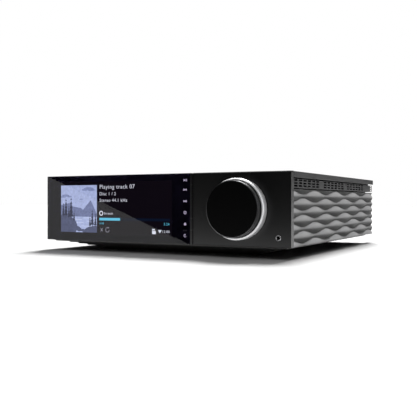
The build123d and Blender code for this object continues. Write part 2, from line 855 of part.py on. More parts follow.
# Floor: flat steel with a low lip up the back of the fascia
with BuildPart() as chassis_floor:
    with BuildSketch(Plane.XY.offset(floor_under_z)):
        span(-rail_outer_x, rail_outer_x, fascia_back_y, rear_outer_y)
    extrude(amount=sheet)
    with BuildSketch(Plane.XY.offset(floor_top_z)):
        span(-rail_inner_x, rail_inner_x, fascia_back_y, fascia_back_y + sheet)
    extrude(amount=floor_lip)
    with BuildSketch(Plane.XY.offset(floor_under_z)):
        with Locations(*foot_places):
            RegularPolygon(screw_radius + screw_gap, small_sides)
    extrude(amount=sheet, mode=Mode.SUBTRACT)
save(chassis_floor, "chassis_floor")

# Base tub: terraces that step in and down like a hipped roof turned over, hollow inside
with BuildPart() as base_plinth:
    for level in range(plinth_levels):
        level_top_z = floor_under_z - level * plinth_riser
        half_x = plinth_half_x - level * plinth_tread_x
        half_y = plinth_half_y - level * plinth_tread_y
        with BuildSketch(Plane.XY.offset(level_top_z)):
            with Locations((0, plinth_middle_y)):
                Rectangle(2 * half_x, 2 * half_y)
        extrude(amount=-plinth_riser, taper=plinth_flank_angle)
    for level in range(plinth_levels - 1):
        level_top_z = floor_under_z - level * plinth_riser
        half_x = plinth_half_x - level * plinth_tread_x - plinth_wall - plinth_flank_run
        half_y = plinth_half_y - level * plinth_tread_y - plinth_wall - plinth_flank_run
        with BuildSketch(Plane.XY.offset(level_top_z - plinth_riser + plinth_tread_thickness)):
            with Locations((0, plinth_middle_y)):
                Rectangle(2 * half_x, 2 * half_y)
        extrude(until=Until.LAST, mode=Mode.SUBTRACT)
    tub_floor_z = plinth_bottom_z + plinth_riser + plinth_tread_thickness
    with BuildSketch(Plane.XY.offset(tub_floor_z)):
        with Locations(*foot_places):
            RegularPolygon(foot_boss_radius, 6)
    extrude(amount=floor_under_z - tub_floor_z)
    with BuildSketch(Plane.XY.offset(plinth_bottom_z)):
        with Locations(*foot_places):
            Circle(foot_radius)
    extrude(amount=foot_pocket, mode=Mode.SUBTRACT)
    with BuildSketch(Plane.XY.offset(plinth_bottom_z)):
        with Locations(*foot_places):
            RegularPolygon(screw_radius + screw_gap, small_sides)
    extrude(amount=floor_under_z - plinth_bottom_z, mode=Mode.SUBTRACT)
save(base_plinth, "base_plinth")

# Rubber feet, let into the tub, each with a recess for its screw
foot_top_z = plinth_bottom_z + foot_pocket
foot_head_z = screw_head_recess + screw_head_height
with BuildPart() as rubber_feet:
    with BuildSketch():
        with Locations(*foot_places):
            Circle(foot_radius)
    extrude(amount=foot_top_z)
    with BuildSketch():
        with Locations(*foot_places):
            RegularPolygon(screw_head_radius + screw_head_gap, small_sides)
    extrude(amount=foot_head_z, mode=Mode.SUBTRACT)
    with BuildSketch():
        with Locations(*foot_places):
            RegularPolygon(screw_radius + screw_gap, small_sides)
    extrude(amount=foot_top_z, mode=Mode.SUBTRACT)
save(rubber_feet, "rubber_feet")

# Hexagon-head screws through the feet and the tub into the floor
with BuildPart() as foot_screws:
    with BuildSketch(Plane.XY.offset(screw_head_recess)):
        with Locations(*foot_places):
            RegularPolygon(screw_head_radius, 6)
    extrude(amount=screw_head_height)
    with BuildSketch(Plane.XY.offset(foot_head_z)):
        with Locations(*foot_places):
            RegularPolygon(screw_radius, small_sides)
    extrude(amount=floor_top_z + foot_screw_tip - foot_head_z)
save(foot_screws, "foot_screws")

# Rear panel: sheet with a cut-out for each connector, wider above the rails' shelf
with BuildPart() as rear_panel:
    with BuildSketch(across(rear_outer_y)):
        span(-rail_inner_x, rail_inner_x, floor_top_z, cover_under_z)
        span(-strip_inner_x, strip_inner_x, rail_shelf_z + sheet, cover_under_z)
    extrude(amount=sheet)
    with BuildSketch(across(rear_outer_y)):
        for port_x, size in (
            (network_x, network_size),
            (usb_x, usb_size),
            (hdmi_x, hdmi_size),
            (optical_x, optical_size),
        ):
            with Locations((port_x, board_top_z + size[1] / 2)):
                Rectangle(size[0] + 2 * cutout_gap, size[1] + 2 * cutout_gap)
        for x in socket_x:
            span(
                x - socket_block_half - cutout_gap,
                x + socket_block_half + cutout_gap,
                socket_z[1] - socket_block_half - cutout_gap,
                socket_z[0] + socket_block_half + cutout_gap,
            )
        for right_x, left_x in (terminal_x[:2], terminal_x[2:]):
            span(
                left_x - terminal_block_half - cutout_gap,
                right_x + terminal_block_half + cutout_gap,
                terminal_z - terminal_block_half - cutout_gap,
                terminal_z + terminal_block_half + cutout_gap,
            )
        with Locations((inlet_x, inlet_z)):
            Rectangle(inlet_body[0] + 2 * cutout_gap, inlet_body[1] + 2 * cutout_gap)
        with Locations((rocker_x, rocker_z)):
            Rectangle(rocker_body[0] + 2 * cutout_gap, rocker_body[1] + 2 * cutout_gap)
        with Locations(*cover_screw_places):
            RegularPolygon(screw_radius + screw_gap, small_sides)
    extrude(amount=sheet, mode=Mode.SUBTRACT)
save(rear_panel, "rear_panel")

# Hexagon-head screws through the cover's tabs
case_screw_depth = 5.0
with BuildPart() as cover_screws:
    with BuildSketch(across(rear_outer_y + cover_side_sheet + screw_head_height)):
        with Locations(*cover_screw_places):
            RegularPolygon(screw_head_radius, 6)
    extrude(amount=screw_head_height)
    with BuildSketch(across(rear_outer_y + cover_side_sheet)):
        with Locations(*cover_screw_places):
            RegularPolygon(screw_radius, small_sides)
    extrude(amount=case_screw_depth)
save(cover_screws, "cover_screws")

# Main board with its processor, a row of filter capacitors and the plug for the flat cable
boards_length = boards_end_y - boards_front_y
boards_middle_y = (boards_end_y + boards_front_y) / 2
main_board_middle_x = (main_board_left_x + main_board_right_x) / 2
main_board_width = main_board_right_x - main_board_left_x
supply_board_middle_x = (supply_board_left_x + supply_board_right_x) / 2
processor_size = 18.0
processor_thickness = 2.0
processor_place = (main_board_right_x - 32.0, boards_front_y + 40.0)
filter_radius = 4.0
filter_height = 12.0
filter_pitch = 16.0
filter_middle = (main_board_left_x + 96.0, boards_end_y - 50.0)
filter_count = 3
ribbon_plug_y = boards_front_y + 6.0
with BuildPart() as main_board:
    with BuildSketch(Plane.XY.offset(board_under_z)):
        with Locations((main_board_middle_x, boards_middle_y)):
            Rectangle(main_board_width, boards_length)
    extrude(amount=board_thickness)
    with BuildSketch(Plane.XY.offset(board_top_z)):
        with Locations(processor_place):
            Rectangle(processor_size, processor_size)
    extrude(amount=processor_thickness)
    with BuildSketch(Plane.XY.offset(board_top_z)):
        with Locations((ribbon_x, ribbon_plug_y)):
            Rectangle(ribbon_width + 2 * ribbon_thickness, ribbon_plug_depth)
    extrude(amount=ribbon_plug_height)
    with BuildSketch(Plane.XY.offset(board_top_z)):
        with Locations(filter_middle):
            with GridLocations(filter_pitch, filter_pitch, filter_count, 1):
                RegularPolygon(filter_radius, small_sides)
    extrude(amount=filter_height)
save(main_board, "main_board")

# Supply board beside it
supply_coil_size = (22.0, 30.0)
supply_coil_height = 24.0
supply_coil_from_rear = 68.0
with BuildPart() as supply_board:
    with BuildSketch(Plane.XY.offset(board_under_z)):
        with Locations((supply_board_middle_x, boards_middle_y)):
            Rectangle(supply_board_width, boards_length)
    extrude(amount=board_thickness)
    with BuildSketch(Plane.XY.offset(board_top_z)):
        with Locations((supply_board_middle_x, boards_end_y - supply_coil_from_rear)):
            Rectangle(*supply_coil_size)
    extrude(amount=supply_coil_height)
save(supply_board, "supply_board")

# Spacers under both boards
with BuildPart() as board_spacers:
    with BuildSketch(Plane.XY.offset(floor_top_z)):
        for middle_x, board_width in (
            (main_board_middle_x, main_board_width),
            (supply_board_middle_x, supply_board_width),
        ):
            with Locations((middle_x, boards_middle_y)):
                with GridLocations(
                    board_width - 2 * standoff_inset,
                    (boards_length - 2 * standoff_inset) / 2,
                    2,
                    3,
                ):
                    RegularPolygon(standoff_radius, 6)
    extrude(amount=standoff_height)
save(board_spacers, "board_spacers")

# Flat cable from the display board down to the main board
ribbon_start_y = display_board_back_y + ribbon_plug_depth
ribbon_run_y = 16.0
ribbon_end_z = board_top_z + ribbon_plug_height
ribbon_bend = 4.0
with BuildPart() as display_ribbon:
    with BuildSketch(along(ribbon_x - ribbon_width / 2)):
        with BuildLine() as ribbon_path:
            FilletPolyline(
                (ribbon_start_y, ribbon_plug_z),
                (ribbon_start_y + ribbon_run_y, ribbon_plug_z),
                (ribbon_plug_y, ribbon_end_z + ribbon_bend),
                (ribbon_plug_y, ribbon_end_z),
                radius=ribbon_bend / 2,
            )
        trace(line_width=ribbon_thickness)
    extrude(amount=ribbon_width)
save(display_ribbon, "display_ribbon")

# Two amplifier modules: a board on the main board, a power block and two output coils
module_width = 58.0
module_length = 74.0
module_y = boards_middle_y - 3.0
module_pitch = 68.0
module_left_x = main_board_left_x + 35.0
module_right_x = module_left_x + module_pitch
module_foot = 3.0
module_block = (26.0, 40.0)
module_block_height = 12.0
module_coil_size = 16.0
module_coil_height = 11.0
module_board_z = board_top_z + module_foot
module_top_z = module_board_z + board_thickness


def amplifier_module(middle_x):
    """One power stage on its own board."""
    with BuildPart() as module:
        with BuildSketch(Plane.XY.offset(module_board_z)):
            with Locations((middle_x, module_y)):
                Rectangle(module_width, module_length)
        extrude(amount=board_thickness)
        with BuildSketch(Plane.XY.offset(board_top_z)):
            with Locations((middle_x, module_y)):
                with GridLocations(
                    module_width - 2 * standoff_inset, module_length - 2 * standoff_inset, 2, 2
                ):
                    RegularPolygon(standoff_radius, 6)
        extrude(amount=module_foot)
        with BuildSketch(Plane.XY.offset(module_top_z)):
            with Locations((middle_x, module_y - module_length / 6)):
                Rectangle(*module_block)
        extrude(amount=module_block_height)
        with BuildSketch(Plane.XY.offset(module_top_z)):
            with Locations((middle_x, module_y + module_length / 3)):
                with GridLocations(module_width / 2, module_width / 2, 2, 1):
                    Rectangle(module_coil_size, module_coil_size)
        extrude(amount=module_coil_height)
    return module


amplifier_module_left = amplifier_module(module_left_x)
save(amplifier_module_left, "amplifier_module_left")
amplifier_module_right = amplifier_module(module_right_x)
save(amplifier_module_right, "amplifier_module_right")

# Finned heat sink that sits across both modules
sink_base_z = module_top_z + module_block_height
sink_base_thickness = 5.0
sink_fin_height = 26.0
sink_fin_thickness = 2.0
sink_fin_pitch = 8.0
sink_overhang = 4.0
sink_left_x = module_left_x - module_block[0] / 2 - sink_overhang
sink_right_x = module_right_x + module_block[0] / 2 + sink_overhang
sink_front_y = module_y - module_length / 6 - module_block[1] / 2 - sink_overhang
sink_length = module_block[1] + 2 * sink_overhang
sink_fins = int((sink_right_x - sink_left_x - sink_fin_thickness) / sink_fin_pitch) + 1
with BuildPart() as heat_sink:
    with BuildSketch(across(sink_front_y + sink_length)):
        span(sink_left_x, sink_right_x, sink_base_z, sink_base_z + sink_base_thickness)
        with Locations(
            (
                (sink_left_x + sink_right_x) / 2,
                sink_base_z + (sink_base_thickness + sink_fin_height) / 2,
            )
        ):
            with GridLocations(sink_fin_pitch, 1, sink_fins, 1):
                Rectangle(sink_fin_thickness, sink_base_thickness + sink_fin_height)
    extrude(amount=sink_length)
save(heat_sink, "heat_sink")

# Streaming module on its plug, with a shielding can
stream_x = main_board_right_x - 38.0
stream_y = boards_middle_y + 17.0
stream_size = (58.0, 66.0)
stream_plug_height = 6.0
stream_plug_size = (46.0, 6.0)
stream_can_size = (34.0, 38.0)
stream_can_height = 3.0
stream_board_z = board_top_z + stream_plug_height
with BuildPart() as streaming_module:
    with BuildSketch(Plane.XY.offset(stream_board_z)):
        with Locations((stream_x, stream_y)):
            Rectangle(*stream_size)
    extrude(amount=board_thickness)
    with BuildSketch(Plane.XY.offset(board_top_z)):
        with Locations((stream_x, stream_y)):
            with GridLocations(1, stream_size[1] - 2 * stream_plug_size[1], 1, 2):
                Rectangle(*stream_plug_size)
    extrude(amount=stream_plug_height)
    with BuildSketch(Plane.XY.offset(stream_board_z + board_thickness)):
        with Locations((stream_x, stream_y)):
            Rectangle(*stream_can_size)
    extrude(amount=stream_can_height)
save(streaming_module, "streaming_module")

# Supply transformer: a winding inside a square core
transformer_y = boards_middle_y - 3.0
transformer_core = (44.0, 48.0)
transformer_height = 40.0
transformer_window = (30.0, 12.0)
transformer_coil_proud = 5.0
with BuildPart() as supply_transformer:
    with BuildSketch(Plane.XY.offset(board_top_z)):
        with Locations((supply_board_middle_x, transformer_y)):
            Rectangle(*transformer_core)
    extrude(amount=transformer_height)
    window_z = board_top_z + transformer_height / 2
    window_x = supply_board_middle_x - transformer_core[0] / 2
    with BuildSketch(along(window_x - transformer_coil_proud)):
        with Locations((transformer_y, window_z)):
            Rectangle(*transformer_window)
    extrude(amount=transformer_core[0] + 2 * transformer_coil_proud)
save(supply_transformer, "supply_transformer")

# Four reservoir capacitors
capacitor_radius = 12.5
capacitor_height = 42.0
capacitor_pitch = 30.0
capacitor_y = boards_front_y + 42.0
with BuildPart() as supply_capacitors:
    with BuildSketch(Plane.XY.offset(board_top_z)):
        with Locations((supply_board_middle_x, capacitor_y)):
            with GridLocations(capacitor_pitch, capacitor_pitch, 2, 2):
                RegularPolygon(capacitor_radius, 2 * small_sides)
    extrude(amount=capacitor_height)
save(supply_capacitors, "supply_capacitors")

# Speaker terminals: moulded pairs, each a plate and a block in one cut-out, with plated posts
with BuildPart() as speaker_terminals:
    for half, face_y, depth in (
        (terminal_plate_half, rear_outer_y + terminal_plate_thickness, terminal_plate_thickness),
        (terminal_block_half, rear_outer_y, sheet + terminal_block_depth),
    ):
        with BuildSketch(across(face_y)):
            for right_x, left_x in (terminal_x[:2], terminal_x[2:]):
                span(left_x - half, right_x + half, terminal_z - half, terminal_z + half)
        extrude(amount=depth)
    with BuildSketch(across(rear_tip_y - terminal_post_recess)):
        with Locations(*[(x, terminal_z) for x in terminal_x]):
            Circle(terminal_post_radius)
    extrude(amount=rear_tip_y - terminal_post_recess - rear_outer_y - terminal_plate_thickness)
    with BuildSketch(across(rear_panel_y - terminal_block_depth)):
        with Locations(*[(x, terminal_z) for x in terminal_x]):
            RegularPolygon(terminal_nut_radius, 6)
    extrude(amount=terminal_nut_thickness)
    with BuildSketch(across(rear_tip_y - terminal_post_recess)):
        with Locations(*[(x, terminal_z) for x in terminal_x]):
            Circle(terminal_bore_radius)
    extrude(amount=terminal_bore_depth, mode=Mode.SUBTRACT)
save(speaker_terminals, "speaker_terminals")

# Terminal caps: faceted collars that screw along the posts
cap_front_y = rear_outer_y + terminal_plate_thickness + cap_plate_gap
for cap, cap_x in enumerate(terminal_x):
    with BuildPart() as terminal_cap:
        with BuildSketch(across(rear_tip_y)):
            with Locations((cap_x, terminal_z)):
                RegularPolygon(cap_radius, cap_sides)
                Circle(terminal_post_radius + running_gap, mode=Mode.SUBTRACT)
        extrude(amount=rear_tip_y - cap_front_y)
    save(terminal_cap, f"terminal_cap_{cap + 1}")

# Line sockets: plated barrels in moulded pairs, each a plate and a block in one cut-out
with BuildPart() as line_sockets:
    socket_places = [(x, z) for x in socket_x for z in socket_z]
    for half, face_y, depth in (
        (socket_plate_half, rear_outer_y + socket_plate_thickness, socket_plate_thickness),
        (socket_block_half, rear_outer_y, sheet + socket_block_depth),
    ):
        with BuildSketch(across(face_y)):
            for x in socket_x:
                span(x - half, x + half, socket_z[1] - half, socket_z[0] + half)
        extrude(amount=depth)
    with BuildSketch(across(rear_outer_y + socket_reach)):
        with Locations(*socket_places):
            Circle(socket_barrel_radius)
    extrude(amount=socket_reach - socket_plate_thickness)
    with BuildSketch(across(rear_outer_y + socket_reach)):
        with Locations(*socket_places):
            Circle(socket_bore_radius)
    extrude(amount=socket_bore_depth, mode=Mode.SUBTRACT)
save(line_sockets, "line_sockets")


def board_port(port_x, size, mouth, tongue_width):
    """A metal-shelled port that stands on the main board and passes through the rear panel."""
    end_y = rear_outer_y + port_proud
    middle_z = board_top_z + size[1] / 2
    with BuildPart() as port:
        with BuildSketch(across(end_y)):
            with Locations((port_x, middle_z)):
                Rectangle(size[0], size[1])
        extrude(amount=size[2])
        with BuildSketch(across(end_y)):
            with Locations((port_x, middle_z)):
                Rectangle(mouth[0], mouth[1])
        extrude(amount=mouth[2], mode=Mode.SUBTRACT)
        if tongue_width:
            with BuildSketch(across(end_y - tongue_recess)):
                with Locations((port_x, middle_z)):
                    Rectangle(tongue_width, tongue_thickness)
            extrude(amount=mouth[2] - tongue_recess)
    return port


network_port = board_port(network_x, network_size, network_mouth, 0)
save(network_port, "network_port")
usb_port = board_port(usb_x, usb_size, usb_mouth, usb_mouth[0] - 2 * tongue_recess)
save(usb_port, "usb_port")
hdmi_port = board_port(hdmi_x, hdmi_size, hdmi_mouth, hdmi_mouth[0] - 2 * tongue_recess)
save(hdmi_port, "hdmi_port")
optical_port = board_port(optical_x, optical_size, optical_mouth, 0)
save(optical_port, "optical_port")

# Mains inlet: flange outside the panel, body through it, three blades in the recess
inlet_face_y = rear_outer_y + inlet_flange_thickness
with BuildPart() as mains_inlet:
    with BuildSketch(across(inlet_face_y)):
        with Locations((inlet_x, inlet_z)):
            RectangleRounded(*inlet_flange, inlet_flange_corner)
    extrude(amount=inlet_flange_thickness)
    with BuildSketch(across(rear_outer_y)):
        with Locations((inlet_x, inlet_z)):
            Rectangle(inlet_body[0], inlet_body[1])
    extrude(amount=inlet_body[2])
    with BuildSketch(across(inlet_face_y)):
        with Locations((inlet_x, inlet_z)):
            recess = Rectangle(inlet_recess[0], inlet_recess[1])
        chamfer(recess.vertices().group_by(Axis.Y)[0], length=inlet_corner)
    extrude(amount=inlet_recess[2], mode=Mode.SUBTRACT)
    with BuildSketch(across(inlet_face_y - inlet_recess[2] + inlet_pin_length)):
        with Locations(*[(inlet_x + x, inlet_z + z) for x, z in zip(inlet_pin_x, inlet_pin_z)]):
            Rectangle(*inlet_pin_size)
    extrude(amount=inlet_pin_length)
save(mains_inlet, "mains_inlet")

# Rocker switch housing with the cavity for the rocker and two pivot bosses
rocker_face_y = rear_outer_y + rocker_frame_thickness
rocker_pivot_y = rear_outer_y
with BuildPart() as switch_housing:
    with BuildSketch(across(rocker_face_y)):
        with Locations((rocker_x, rocker_z)):
            RectangleRounded(*rocker_frame, rocker_frame_corner)
    extrude(amount=rocker_frame_thickness)
    with BuildSketch(across(rear_outer_y)):
        with Locations((rocker_x, rocker_z)):
            Rectangle(rocker_body[0], rocker_body[1])
    extrude(amount=rocker_body[2])
    with BuildSketch(across(rocker_face_y)):
        with Locations((rocker_x, rocker_z)):
            Rectangle(rocker_cavity[0], rocker_cavity[1])
    extrude(amount=rocker_cavity[2], mode=Mode.SUBTRACT)
    with BuildSketch(along(rocker_x - rocker_cavity[0] / 2)):
        with Locations((rocker_pivot_y, rocker_z)):
            Circle(rocker_pin_radius)
    extrude(amount=rocker_cavity[0])
save(switch_housing, "switch_housing")

# Rocker: a shallow V on a hub, drawn side on and tilted to its off position
rocker_half = rocker_height / 2
with BuildPart() as power_rocker:
    with BuildSketch(along(rocker_x - rocker_width / 2)):
        with Locations(Location((rocker_pivot_y, rocker_z), rocker_swing / 2)):
            Polygon(
                (-rocker_skirt, -rocker_half),
                (rocker_end_reach, -rocker_half),
                (rocker_middle_reach, 0),
                (rocker_end_reach, rocker_half),
                (-rocker_skirt, rocker_half),
                align=None,
            )
            Circle(rocker_hub_radius)
            Circle(rocker_pin_radius + rocker_pin_gap, mode=Mode.SUBTRACT)
    extrude(amount=rocker_width)
save(power_rocker, "power_rocker")
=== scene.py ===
from math import cos, pi, radians, sin

import bmesh
import bpy
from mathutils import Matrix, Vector


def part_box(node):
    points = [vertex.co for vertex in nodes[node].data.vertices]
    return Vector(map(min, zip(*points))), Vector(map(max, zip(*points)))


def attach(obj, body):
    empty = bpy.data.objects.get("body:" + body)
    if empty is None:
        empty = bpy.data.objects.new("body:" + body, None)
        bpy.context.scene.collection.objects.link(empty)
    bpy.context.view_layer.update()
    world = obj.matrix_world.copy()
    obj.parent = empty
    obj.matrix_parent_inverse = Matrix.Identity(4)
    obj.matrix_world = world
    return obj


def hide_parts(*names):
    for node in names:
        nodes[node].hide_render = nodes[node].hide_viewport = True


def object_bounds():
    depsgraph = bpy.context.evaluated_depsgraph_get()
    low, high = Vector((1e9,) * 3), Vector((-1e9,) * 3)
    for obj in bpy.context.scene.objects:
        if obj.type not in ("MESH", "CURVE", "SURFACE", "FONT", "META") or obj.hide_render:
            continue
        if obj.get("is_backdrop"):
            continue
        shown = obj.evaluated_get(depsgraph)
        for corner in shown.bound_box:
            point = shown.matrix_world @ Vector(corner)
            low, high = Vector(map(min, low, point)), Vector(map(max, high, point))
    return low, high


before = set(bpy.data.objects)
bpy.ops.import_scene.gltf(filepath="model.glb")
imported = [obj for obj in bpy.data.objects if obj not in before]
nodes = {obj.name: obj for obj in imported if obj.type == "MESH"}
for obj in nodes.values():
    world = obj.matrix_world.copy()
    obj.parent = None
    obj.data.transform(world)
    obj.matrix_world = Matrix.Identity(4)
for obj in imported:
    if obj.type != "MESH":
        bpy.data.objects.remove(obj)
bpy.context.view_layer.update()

# Camera: it stands low and to the right of the front, as the photographer's did. Its place and
# lens were worked out from the edges of the case in the photograph.
scene = bpy.context.scene
camera_place = Vector((0.3834, -0.7461, 0.0577))
camera_aim = Vector((-0.0196, 0, 0.0605))
photo_width = 417
photo_focal_length = 633.15
sensor_width = 36
camera_data = bpy.data.cameras.new("camera")
camera_data.sensor_fit = "HORIZONTAL"
camera_data.sensor_width = sensor_width
camera_data.lens = photo_focal_length / photo_width * sensor_width
camera = bpy.data.objects.new("camera", camera_data)
scene.collection.objects.link(camera)
camera.location = camera_place
camera.rotation_euler = (camera_aim - camera_place).to_track_quat("-Z", "Y").to_euler()
scene.camera = camera
scene.view_settings.view_transform = "Standard"


# Studio: a white floor, a large soft light high behind the object, a second one for the side
# panels alone and a faint glow overhead. A black flag and white cards hang round the object, and
# show only in reflections, as they do when glossy goods are photographed.
def deselect():
    for item in bpy.context.selected_objects:
        item.select_set(False)


BLACK, WHITE = (0, 0, 0, 1), (1, 1, 1, 1)


def added(name="shape"):
    """The object that was just added, under a name."""
    piece = bpy.context.active_object
    piece.name = name
    return piece


def feed(tree, node, inputs):
    """Gives a node's inputs their values, or links them to other nodes' outputs."""
    for socket, value in inputs.items():
        if isinstance(value, bpy.types.NodeSocket):
            tree.links.new(value, node.inputs[socket])
        else:
            node.inputs[socket].default_value = value


def add_node(tree, kind, inputs=None, **settings):
    """A new shader node with its settings and its inputs."""
    node = tree.nodes.new("ShaderNode" + kind)
    for setting, value in settings.items():
        setattr(node, setting, value)
    feed(tree, node, inputs or {})
    return node


def add_math(tree, operation, *values):
    """The output of a math node whose inputs are numbers or other nodes' outputs."""
    return add_node(tree, "Math", dict(enumerate(values)), operation=operation).outputs[0]


no_shine = {"Specular IOR Level": 0}


def new_material(name, inputs):
    """A material, its node tree and its shader, which holds what is the same all over."""
    material = bpy.data.materials.new(name)
    material.use_nodes = True
    shader = material.node_tree.nodes["Principled BSDF"]
    feed(material.node_tree, shader, inputs)
    return material, material.node_tree, shader


def light_material(name, strength):
    """A material that shines and mirrors nothing."""
    inputs = {"Base Color": BLACK, "Emission Color": WHITE, "Emission Strength": strength}
    return new_material(name, {**inputs, **no_shine})


horizon_glow, overhead_glow = 0.03, 0.7
overhead_low_z, overhead_high_z = 0.5, 0.8
world = bpy.data.worlds.new("studio")
scene.world = world
world.use_nodes = True
sky = world.node_tree
direction = add_node(sky, "TexCoord").outputs["Generated"]
rise = add_node(
    sky, "MapRange",
    {
        "Value": add_node(sky, "SeparateXYZ", {0: direction}).outputs["Z"],
        "From Min": overhead_low_z, "From Max": overhead_high_z, "To Min": horizon_glow,
        "To Max": overhead_glow,
    },
    interpolation_type="SMOOTHSTEP",
)
seen = add_node(sky, "LightPath").outputs["Is Camera Ray"]
shown = add_node(sky, "Mix", {"Factor": seen, "A": rise.outputs["Result"], "B": 1})
feed(sky, sky.nodes["Background"], {"Strength": shown.outputs["Result"], "Color": WHITE})


def distant_light(name, direction, angle, strength):
    """A lamp that shines from a direction and looks as wide as its angle, in degrees."""
    data = bpy.data.lights.new(name, "SUN")
    data.energy = strength
    data.angle = radians(angle)
    lamp = bpy.data.objects.new(name, data)
    scene.collection.objects.link(lamp)
    lamp.rotation_euler = Vector(direction).to_track_quat("Z", "Y").to_euler()
    return lamp


distant_light("softbox", direction=(-0.13, 0.58, 0.80), angle=24, strength=9.3)
side_light = distant_light("side_light", direction=(0.30, 0.25, 0.92), angle=30, strength=3.7)
side_lit = bpy.data.collections.new("side_lit")
side_light.light_linking.receiver_collection = side_lit

floor_size = 14
albedo_seen, albedo_mirrored, albedo_bounced = 0.43, 0.66, 0.05
deselect()
bpy.ops.mesh.primitive_plane_add(size=floor_size)
floor = added("floor")
floor_white, floor_tree, floor_shader = new_material("floor_white", {"Roughness": 0.9, **no_shine})
floor_paths = add_node(floor_tree, "LightPath")
albedo = albedo_bounced
for ray, share in (("Is Glossy Ray", albedo_mirrored), ("Is Camera Ray", albedo_seen)):
    change = share - albedo_bounced
    albedo = add_math(floor_tree, "MULTIPLY_ADD", floor_paths.outputs[ray], change, albedo)
feed(floor_tree, floor_shader, {"Base Color": albedo})
floor.data.materials.append(floor_white)
floor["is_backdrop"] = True

# The flag's slanted edge is the one that the photograph shows mirrored in the display's glass.
glass_low, glass_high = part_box("display_glass")
glass_front_y = glass_low.y
flag_y = glass_front_y - 0.142
edge_on_glass = ((-0.154, 0.0878), (0.042, 0.0122))
mirrored_camera = Vector((camera_place.x, 2 * glass_front_y - camera_place.y, camera_place.z))
reach = (flag_y - mirrored_camera.y) / (glass_front_y - mirrored_camera.y)
edge_high, edge_low = (
    mirrored_camera + (Vector((x, glass_front_y, z)) - mirrored_camera) * reach
    for x, z in edge_on_glass
)
edge_run = (edge_high.x - edge_low.x) / (edge_high.z - edge_low.z)


def on_edge(z):
    """The slanted edge's point at a height."""
    return (edge_low.x + edge_run * (z - edge_low.z), flag_y, z)


def upright_card(left_x, right_x, height):
    """The corners of a card in the flag's plane; a side left out follows the slanted edge."""
    sides = [[(x, flag_y, z) if x else on_edge(z) for z in (0, height)] for x in (left_x, right_x)]
    return sides[0][0], sides[1][0], sides[1][1], sides[0][1]


card_half_x, card_z, card_back_y = 0.8, 0.0005, glass_front_y - 0.002
cards = {
    "black_flag": (0, *upright_card(None, 1.5, 0.22)),
    "front_card": (0.75, *upright_card(-1.6, None, 0.3)),
    "side_card": (3.6, (0.7, -0.5, 0), (0.7, 0.4, 0), (0.7, 0.4, 0.6), (0.7, -0.5, 0.6)),
    "top_card": (
        3.6, (-0.36, -0.42, 0.60), (0.16, -0.62, 0.60), (0.16, -0.42, 0.66), (-0.36, -0.30, 0.66)
    ),
    "floor_card": (
        1.7, (-card_half_x, flag_y, card_z), (card_half_x, flag_y, card_z),
        (card_half_x, card_back_y, card_z), (-card_half_x, card_back_y, card_z),
    ),
}
for name, (brightness, *corners) in cards.items():
    deselect()
    bpy.ops.mesh.primitive_plane_add(size=1)
    card = added(name)
    for index, corner in zip((0, 1, 3, 2), corners):
        card.data.vertices[index].co = corner
    card.data.materials.append(light_material(name, brightness)[0])
    for ray in ("camera", "diffuse", "transmission", "volume_scatter", "shadow"):
        setattr(card, f"visible_{ray}", False)
    card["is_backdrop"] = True


# Fascia: one machined aluminium plate, bead-blasted and anodised black, with a pocket for the
# glass, a groove for the keys and fine eased edges. The grain group serves every blasted, cast,
# painted or moulded surface of the object.
def new_group(name, inputs, outputs):
    """An empty node group, the outputs of its input node, and its output node."""
    group = bpy.data.node_groups.new(name, "ShaderNodeTree")
    for way, sockets in (("INPUT", inputs), ("OUTPUT", outputs)):
        for socket, value in sockets.items():
            size = len(value) if isinstance(value, tuple) else 1
            kind = {1: "NodeSocketFloat", 3: "NodeSocketVector", 4: "NodeSocketColor"}[size]
            made = group.interface.new_socket(name=socket, in_out=way, socket_type=kind)
            made.default_value = value
    given = group.nodes.new("NodeGroupInput")
    return group, given.outputs, group.nodes.new("NodeGroupOutput")


# Fine grain, and slow patches of shade and shine, in the object's own space.
surface_grain, given, result = new_group(
    "surface_grain",
    {
        "Colour": (0.5, 0.5, 0.5, 1), "Roughness": 0.5, "Grain Size": 0.0004, "Patch Size": 0.04,
        "Shade Change": 0.1, "Roughness Change": 0.05,
    },
    {"Colour": BLACK, "Roughness": 0, "Height": 0},
)
tree = surface_grain
place = add_node(tree, "TexCoord").outputs["Object"]
noises = []
for size, detail in (("Grain Size", 2), ("Patch Size", 4)):
    scale = add_math(tree, "DIVIDE", 1, given[size])
    noise = add_node(tree, "TexNoise", {"Vector": place, "Scale": scale, "Detail": detail})
    noises.append(noise.outputs["Fac"])
fine, slow = noises
slow_share, fine_share = 0.7, 0.3
fine_part = add_math(tree, "MULTIPLY", fine, fine_share)
both = add_math(tree, "MULTIPLY_ADD", slow, slow_share, fine_part)
swing = add_math(tree, "MULTIPLY_ADD", both, 2, -1)
shade = add_math(tree, "MULTIPLY_ADD", swing, given["Shade Change"], 1)
tint = add_node(tree, "VectorMath", {0: given["Colour"], "Scale": shade}, operation="SCALE")
rough = add_math(tree, "MULTIPLY_ADD", swing, given["Roughness Change"], given["Roughness"])
feed(tree, result, {"Colour": tint.outputs[0], "Roughness": rough, "Height": fine})
micron = 0.000001


def finish(name, tint, roughness, grain=400, relief=10, patch=0.04, shade=0.12,
           shine=0.05, sockets=None):
    """A finish with a fine grain, whose size and relief are in thousandths of a millimetre."""
    material, tree, shader = new_material(name, sockets or {})
    grained = add_node(
        tree, "Group",
        {
            "Colour": (*tint, 1), "Roughness": roughness, "Grain Size": grain * micron,
            "Patch Size": patch, "Shade Change": shade, "Roughness Change": shine,
        },
        node_tree=surface_grain, name="Grain",
    ).outputs
    bumps = {"Strength": 1, "Distance": relief * micron, "Height": grained["Height"]}
    inputs = {
        "Base Color": grained["Colour"], "Roughness": grained["Roughness"],
        "Normal": add_node(tree, "Bump", bumps).outputs["Normal"],
    }
    feed(tree, shader, inputs)
    return material


